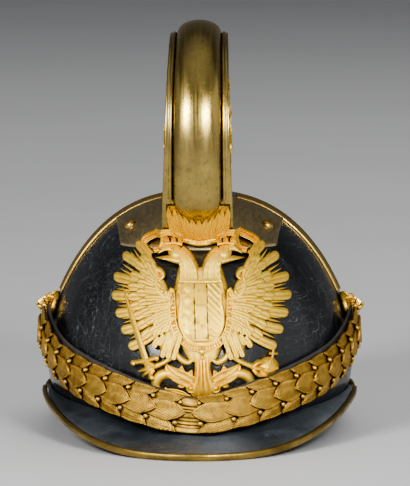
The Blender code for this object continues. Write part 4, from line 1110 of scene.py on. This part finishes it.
# The sword and its guard, the orb's two bands and its cross: section, steps, path, half
# widths and heights.
HELD_FORMS = (
    (BLADE, 26, ((-31.2, 46), (-33.6, 53.6), (-39.8, 72.6), (-46.2, 92.6)),
     (1.6, 2, 1.9, 1.6, 0), (4.4, 4.6, 4.6, 3.8)),
    (ROD, 8, ((-40.6, 50.6), (-34, 52.2), (-27.4, 54.2)), (1.3, 1.4, 1.3), (4.8, 5.2, 4.6)),
    (ROD, 12, ((31.8, 48.6), (38, 45.4), (44, 47.2)), (0.9, 0.9), (6, 6)),
    (ROD, 12, ((37.6, 46.8), (39.2, 50.4), (40.4, 53.2)), (0.9, 0.9), (6, 6)),
    (ROD, 5, ((40.6, 52.6), (41.6, 57.8)), (0.8, 0.9), (4.2, 3.4)),
    (ROD, 5, ((38.8, 55.6), (44, 55)), (0.8, 0.8), (3.8, 3.4)),
)
for section, along, path, widths, heights in HELD_FORMS:
    raise_strip(path, widths, heights, section, along)
for x, z in ((-40.9, 50.5), (-27, 54.3), (-30.2, 42.6)):
    raise_ball(x, z, 1.7, 2.2, 2.9)
raise_ball(38, 47.4, 6.5, 4.8, 0.6, sides=24)

# The crown's band and its pearls, then the leaves that spread from it over a ground plate.
raise_strip(((-9.8, 119.4), (0, 117.6), (9.8, 119.4)), (1.7, 1.9, 1.7), (3.2, 3.6, 3.2), along=14)
for x in np.linspace(-9.2, 9.2, 9):
    raise_ball(x, 118.2 + 0.018 * x * x, 0.75, 0.9, 3.2, sides=8)
# A low ground plate behind the crown's leaves, darkened as painted shade in the gaps.
ground = ((0, 119), (0, 130), (0, 141))
raise_strip(ground, (16.5, 18.7, 18.9), (0.25, 0.25, 0.25), FLAT, along=10, dark=0.50)
for share in np.linspace(-1, 1, 9):
    around = math.radians(66 * share)
    leaf = (
        (8.6 * share, 119.6 + share**2), (12.6 * share, 125.8 + 2.6 * share**2),
        (15.6 * math.sin(around), 144.8 - 12 * math.cos(around)),
    )
    raise_strip(leaf, (1.1, 1.7, 1.9, 0.4), (2.2, 2.6, 2.4, 1.6), LEAF, along=14, base=0.3)
SIDE_LEAVES = (
    ((9.6, 121), (15, 124), (18, 129.5)), ((11, 123.5), (16, 128.5), (18.2, 135)),
    ((13, 128), (16.9, 133.5), (17.6, 140.6)),
)
for side in (-1, 1):
    for leaf in SIDE_LEAVES:
        raise_strip(leaf, (0.9, 1.8, 1.5, 0), (2.2, 2.4, 1.9), LEAF, along=12, base=0.3, side=side)
    raise_leaf(9.8, 119.4, 60, 6.2, 1.7, -50, 2, 0.8, side)

BADGE_OFFSET = 0.0025
BADGE_LEAN = 0.035
BADGE_LEAN_Z = 0.0820
BADGE_BEND_X = 0.0225
BADGE_THICKNESS = 0.0020
COMB_FOOT = (-0.0726, 0.1183)
COMB_BROW = (-0.0809, 0.1331)
PLATE_SEAT = 0.0016
PLATE_STEP_Z = 0.1010
PLATE_STEP_LENGTH = 0.0080


def brow_y(x, z, offset):
    """How far forward the front of the skull is at (x, z), moved out by offset."""
    width = girth((z - WIDEST_Z) / (SKULL_HEIGHT + offset))
    left = max(width**2 - (x / (SKULL_HALF_WIDTH + offset)) ** 2, 0)
    return CENTRE_Y - (SKULL_FRONT + offset) * math.sqrt(left)


def on_brow(x, z, height):
    """The place of the eagle's point on the skull, the front plate and the comb's foot."""
    x += BADGE_OFFSET - BADGE_LEAN * (z - BADGE_LEAN_Z)
    share = min(max((z - PLATE_STEP_Z) / PLATE_STEP_LENGTH, 0), 1)
    on_skull = brow_y(x, z, lerp(CLEARANCE, PLATE_SEAT, share) + height)
    rise = max((z - COMB_FOOT[1]) / (COMB_BROW[1] - COMB_FOOT[1]), 0)
    on_comb = min(lerp(COMB_FOOT[0], COMB_BROW[0], rise) - CLEARANCE - height, on_skull)
    beside = min(max((abs(x) - BADGE_BEND_X) / BADGE_THICKNESS, 0), 1)
    return Vector((x, lerp(on_comb, on_skull, beside), z))


eagle_gilt = make_brass(
    "eagle_gilt", clean=(0.94, 0.655, 0.12), tarnished=(0.82, 0.54, 0.084), rough=0.48, dull=0.56,
    crevice=(0.11, 0.06, 0.014), bright=(0.98, 0.73, 0.145),
)
seat_casting(join_raised("eagle_casting"), on_brow, eagle_gilt, "eagle_badge")

# Studio. A pale floor under an even grey air that brightens overhead, soft boxes in front,
# at both sides and above, and a camera where the photograph's was.

FLOOR_SIZE = 24.0
AIR_STRENGTH = 0.34
LIGHTS_HEIGHT = 0.12
CAMERA_TARGET = Vector((0.0030, 0, 0.1085))
CAMERA_AZIMUTH = 1.0
CAMERA_ELEVATION = 7.0
CAMERA_DISTANCE = 3.0
METRES_A_PIXEL = 0.000605
PICTURE_HEIGHT = 486
SENSOR_WIDTH = 36.0
# Each soft box: degrees round from the front and up, distance, size in metres and watts.
LIGHTS = (
    ("key_box", -36, 27, 1.9, 0.58, 34.0),
    ("fill_box", 26, 26, 1.9, 0.58, 30.0),
    ("left_box", -84, 14, 2.4, 2.2, 3.5),
    ("right_box", 82, 14, 2.4, 2.2, 8.0),
    ("top_box", 150, 62, 2.6, 2.4, 40.0),
)

deselect()
bpy.ops.mesh.primitive_plane_add(size=FLOOR_SIZE, location=(0, 2, 0))
floor = start_piece("studio_floor")
floor_paint, tree, surface, place = new_material("floor_paint")
cloud = ramp(tree, noise(tree, place, 3.0, 4.0), 0.3, 0.7)
paint = blend_colours(tree, cloud, (0.440, 0.440, 0.443, 1), (0.465, 0.465, 0.465, 1))
feed(tree, surface, Base_Color=paint, Roughness=0.7)
floor.data.materials.append(floor_paint)

world = bpy.data.worlds.new("studio_air")
bpy.context.scene.world = world
world.use_nodes = True
sky = world.node_tree
height = add_node(sky, "SeparateXYZ", Vector=add_node(sky, "TexCoord").outputs["Generated"]).outputs[2]
air = blend_colours(sky, ramp(sky, height, -0.05, 0.65), (0.46, 0.48, 0.50, 1), (0.210, 0.215, 0.225, 1))
air = blend_colours(sky, ramp(sky, height, 0.72, 0.97), air, (1.100, 1.110, 1.130, 1))
feed(sky, sky.nodes["Background"], Color=air, Strength=AIR_STRENGTH)


def look_from(name, data, target, azimuth, elevation, distance):
    """Adds a lamp or the camera, some degrees round and above its target and facing it."""
    made = bpy.data.objects.new(name, data)
    bpy.context.scene.collection.objects.link(made)
    turn, lift = math.radians(azimuth), math.radians(elevation)
    back = Vector((math.sin(turn) * math.cos(lift), -math.cos(turn) * math.cos(lift), math.sin(lift)))
    made.location = target + back * distance
    made.rotation_euler = back.to_track_quat("Z", "Y").to_euler()
    return made


for name, azimuth, elevation, distance, size, watts in LIGHTS:
    lamp = bpy.data.lights.new(name, "AREA")
    lamp.energy = watts
    lamp.size = size
    box = look_from(name, lamp, Vector((0, 0, LIGHTS_HEIGHT)), azimuth, elevation, distance)
    box.visible_glossy = name != "top_box"

bpy.context.scene.view_settings.look = "AgX - Medium High Contrast"
lens = bpy.data.cameras.new("camera")
lens.sensor_width = SENSOR_WIDTH
lens.lens = SENSOR_WIDTH * CAMERA_DISTANCE / METRES_A_PIXEL / PICTURE_HEIGHT
camera = look_from("camera", lens, CAMERA_TARGET, CAMERA_AZIMUTH, CAMERA_ELEVATION, CAMERA_DISTANCE)
bpy.context.scene.camera = camera
